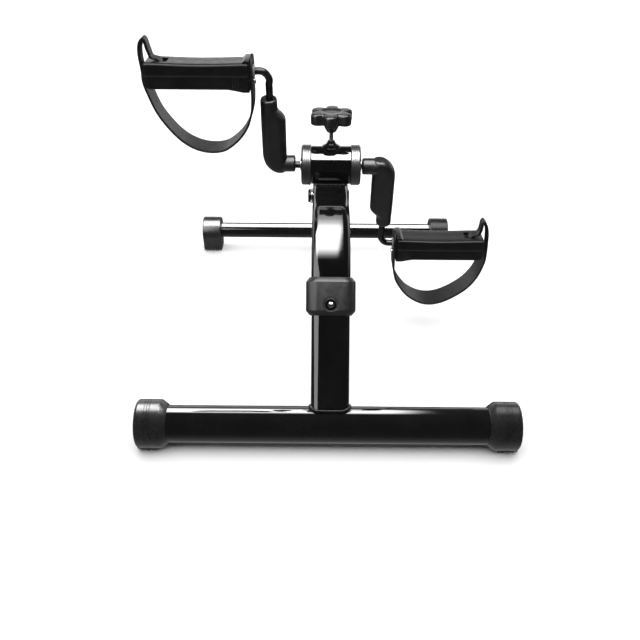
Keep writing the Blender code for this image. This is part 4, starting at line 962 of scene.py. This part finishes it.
def softbox(name, centre, target, size, power, glossy=True, diffuse=True, only=None, skip=None):
    """A rectangular studio light, facing its target."""
    data = bpy.data.lights.new(name, 'AREA')
    data.shape = 'RECTANGLE'
    data.size, data.size_y = size
    data.energy = power
    obj = bpy.data.objects.new(name, data)
    bpy.context.scene.collection.objects.link(obj)
    to = Vector(target) - Vector(centre)
    obj.location = centre
    obj.rotation_euler = to.to_track_quat('-Z', 'Y').to_euler()
    obj.visible_camera = False
    obj.visible_glossy = glossy
    obj.visible_diffuse = diffuse
    for names, state in ((only, 'INCLUDE'), (skip, 'EXCLUDE')):
        if names:
            group = bpy.data.collections.new(name + "_link")
            for n_ in names:
                group.objects.link(bpy.data.objects[n_])
            obj.light_linking.receiver_collection = group
            for item in group.collection_objects:
                item.light_linking.link_state = state
    return obj


def aim(origin, angle, distance, azimuth=0.0):
    """A point at an angle up from the front horizon, turned to the left by the azimuth."""
    a, z = math.radians(angle), math.radians(azimuth)
    return (origin[0] - math.cos(a) * math.sin(z) * distance, origin[1] - math.cos(a) * math.cos(z) * distance,
            origin[2] + math.sin(a) * distance)


def band_box(name, at_point, low, high, level, width, only=None, skip=None, distance=1.6, shift=0.0):
    """A glossy-only softbox that fills the angles from low to high over the front horizon."""
    middle, half = (low + high) / 2, (high - low) / 2
    depth = 2 * distance * math.tan(math.radians(half))
    centre = aim(at_point, middle, distance)
    target = (at_point[0] + shift, at_point[1], at_point[2])
    return softbox(name, (centre[0] + shift, centre[1], centre[2]), target, (width, depth),
                   level * math.pi * width * depth, diffuse=False, only=only, skip=skip)


def graded_box(name, at_point, stops, x0, x1, soft0, soft1, only, distance=1.6):
    """A glossy-only softbox whose brightness follows (angle over the front horizon, level) stops."""
    low, high = stops[0][0], stops[-1][0]
    peak = max(v for _, v in stops)
    depth = 2 * distance * math.tan(math.radians((high - low) / 2))
    mid_x = (x0 + x1) / 2
    centre = aim(at_point, (low + high) / 2, distance)
    obj = softbox(name, (mid_x, centre[1], centre[2]), (mid_x, at_point[1], at_point[2]), (x1 - x0, depth),
                  peak * math.pi * (x1 - x0) * depth, diffuse=False, only=only)
    obj.data.use_nodes = True
    ln, ll = obj.data.node_tree.nodes, obj.data.node_tree.links
    sep = ln.new("ShaderNodeSeparateXYZ")
    ll.new(ln.new("ShaderNodeNewGeometry").outputs["Position"], sep.inputs[0])

    def sum_(operation, a, b):
        node = ln.new("ShaderNodeMath")
        node.operation = operation
        for socket, value in zip(node.inputs, (a, b)):
            if isinstance(value, (int, float)):
                socket.default_value = value
            else:
                ll.new(value, socket)
        return node.outputs[0]

    def ease(value, a, b):
        node = ln.new("ShaderNodeMapRange")
        node.interpolation_type = 'SMOOTHSTEP'
        node.inputs["From Min"].default_value = min(a, b)
        node.inputs["From Max"].default_value = max(a, b)
        node.inputs["To Min"].default_value = 0.0 if a < b else 1.0
        node.inputs["To Max"].default_value = 1.0 if a < b else 0.0
        ll.new(value, node.inputs["Value"])
        return node.outputs["Result"]

    angle = sum_('ARCTAN2', sum_('SUBTRACT', sep.outputs["Z"], at_point[2]),
                 sum_('SUBTRACT', at_point[1], sep.outputs["Y"]))
    part = sum_('DIVIDE', sum_('SUBTRACT', angle, math.radians(low)), math.radians(high - low))
    ramp = graded(ln, [((a - low) / (high - low), v / peak) for a, v in stops])
    ll.new(part, ramp.inputs["Fac"])
    edges = sum_('MULTIPLY', ease(sep.outputs["X"], x0, x0 + soft0), ease(sep.outputs["X"], x1, x1 - soft1))
    ll.new(sum_('MULTIPLY', ramp.outputs["Color"], edges), ln["Emission"].inputs["Strength"])
    return obj


FOOT_AT, TOP_AT, ARCH_AT, REAR_AT = (0, -0.225, 0.02), (0, -0.013, 0.222), (0, -0.11, 0.17), (0, 0.228, 0.03)
CAPS = ["front_cap_left", "front_cap_right"]
BARREL_SET = ["barrel", "barrel_weld_front", "barrel_weld_rear"]
BOSS_SET = ["stud_boss", "threaded_stud"]
BUSH_SET = ["barrel_end_left", "barrel_end_right"]
SLEEVE_SET = ["crank_cover_left", "crank_cover_right"]
ARCH_SET = ["arch", "front_leg", "rear_leg", "rear_weld"]
FOOT_SET = ["front_bar", "leg_weld"]
REAR_SET = ["rear_bar", "rear_cap_left", "rear_cap_right"]
BOLT_SET = ["pivot_bolt", "pivot_washer"]
PEDAL_SET = ["pedal_block_left", "pedal_block_right", "strap_left", "strap_right"]
OWN_LIGHT = CAPS + BARREL_SET + BOSS_SET + BUSH_SET + SLEEVE_SET + ARCH_SET + FOOT_SET + REAR_SET + PEDAL_SET
graded_box("arch_box", ARCH_AT, [(62, 0), (66, 6), (71, 24), (76, 46), (106, 46), (114, 20), (122, 8), (132, 3.5),
                                 (144, 1.6), (150, 0)], -1.5, 0.17, 0.1, 0.06, ARCH_SET)
graded_box("foot_box", FOOT_AT, [(108, 0), (115, 24), (121, 42), (137, 42), (146, 10), (153, 0)],
           -0.60, 0.34, 0.05, 0.18, FOOT_SET)
band_box("barrel_box", TOP_AT, 50, 101, 52, 2.2, only=BARREL_SET)
band_box("bushing_box", TOP_AT, 50, 101, 45, 2.2, only=BUSH_SET)
band_box("boss_box", TOP_AT, 50, 101, 8, 2.2, only=BOSS_SET)
band_box("sleeve_box", TOP_AT, 50, 101, 20, 2.2, only=SLEEVE_SET)
band_box("overhead_box", TOP_AT, 50, 101, 12, 2.2, skip=OWN_LIGHT)
band_box("rear_box", REAR_AT, 72, 132, 46, 2.2, only=REAR_SET[:1])
band_box("rear_cap_box_left", REAR_AT, 58, 104, 40, 2.2, only=REAR_SET[1:2])
band_box("rear_cap_box_right", REAR_AT, 58, 104, 5, 2.2, only=REAR_SET[2:])
band_box("pedal_box", TOP_AT, 60, 100, 5, 2.2, only=PEDAL_SET)
band_box("cap_box_left", FOOT_AT, 102, 136, 30, 2.2, only=CAPS[:1])
band_box("cap_box_right", FOOT_AT, 102, 136, 4, 2.2, only=CAPS[1:])
LEG_AT = (0, -0.16, 0.14)
softbox("side_box", aim(LEG_AT, 30, 1.5, 58), LEG_AT, (2.2, 1.5), 92, diffuse=False,
        skip=FOOT_SET + CAPS + BOLT_SET + BUSH_SET + BOSS_SET + PEDAL_SET + ["collar", "snap_button_dome"])
softbox("side_box_collar", aim(LEG_AT, 30, 1.5, 58), LEG_AT, (2.2, 1.5), 34, diffuse=False, only=["collar"])
room = softbox("room_light", (0, 1.1, 3.0), (0, 1.1, 0), (7.0, 7.0), 380, glossy=False)
# only the pieces on the floor shade it
ground = bpy.data.collections.new("ground_shade")
for n_ in CAPS + FOOT_SET + ["front_leg"] + REAR_SET[1:]:
    ground.objects.link(bpy.data.objects[n_])
room.light_linking.blocker_collection = ground
for item in ground.collection_objects:
    item.light_linking.link_state = 'INCLUDE'

bpy.context.scene.view_settings.view_transform = 'Standard'
bpy.context.scene.view_settings.look = 'None'
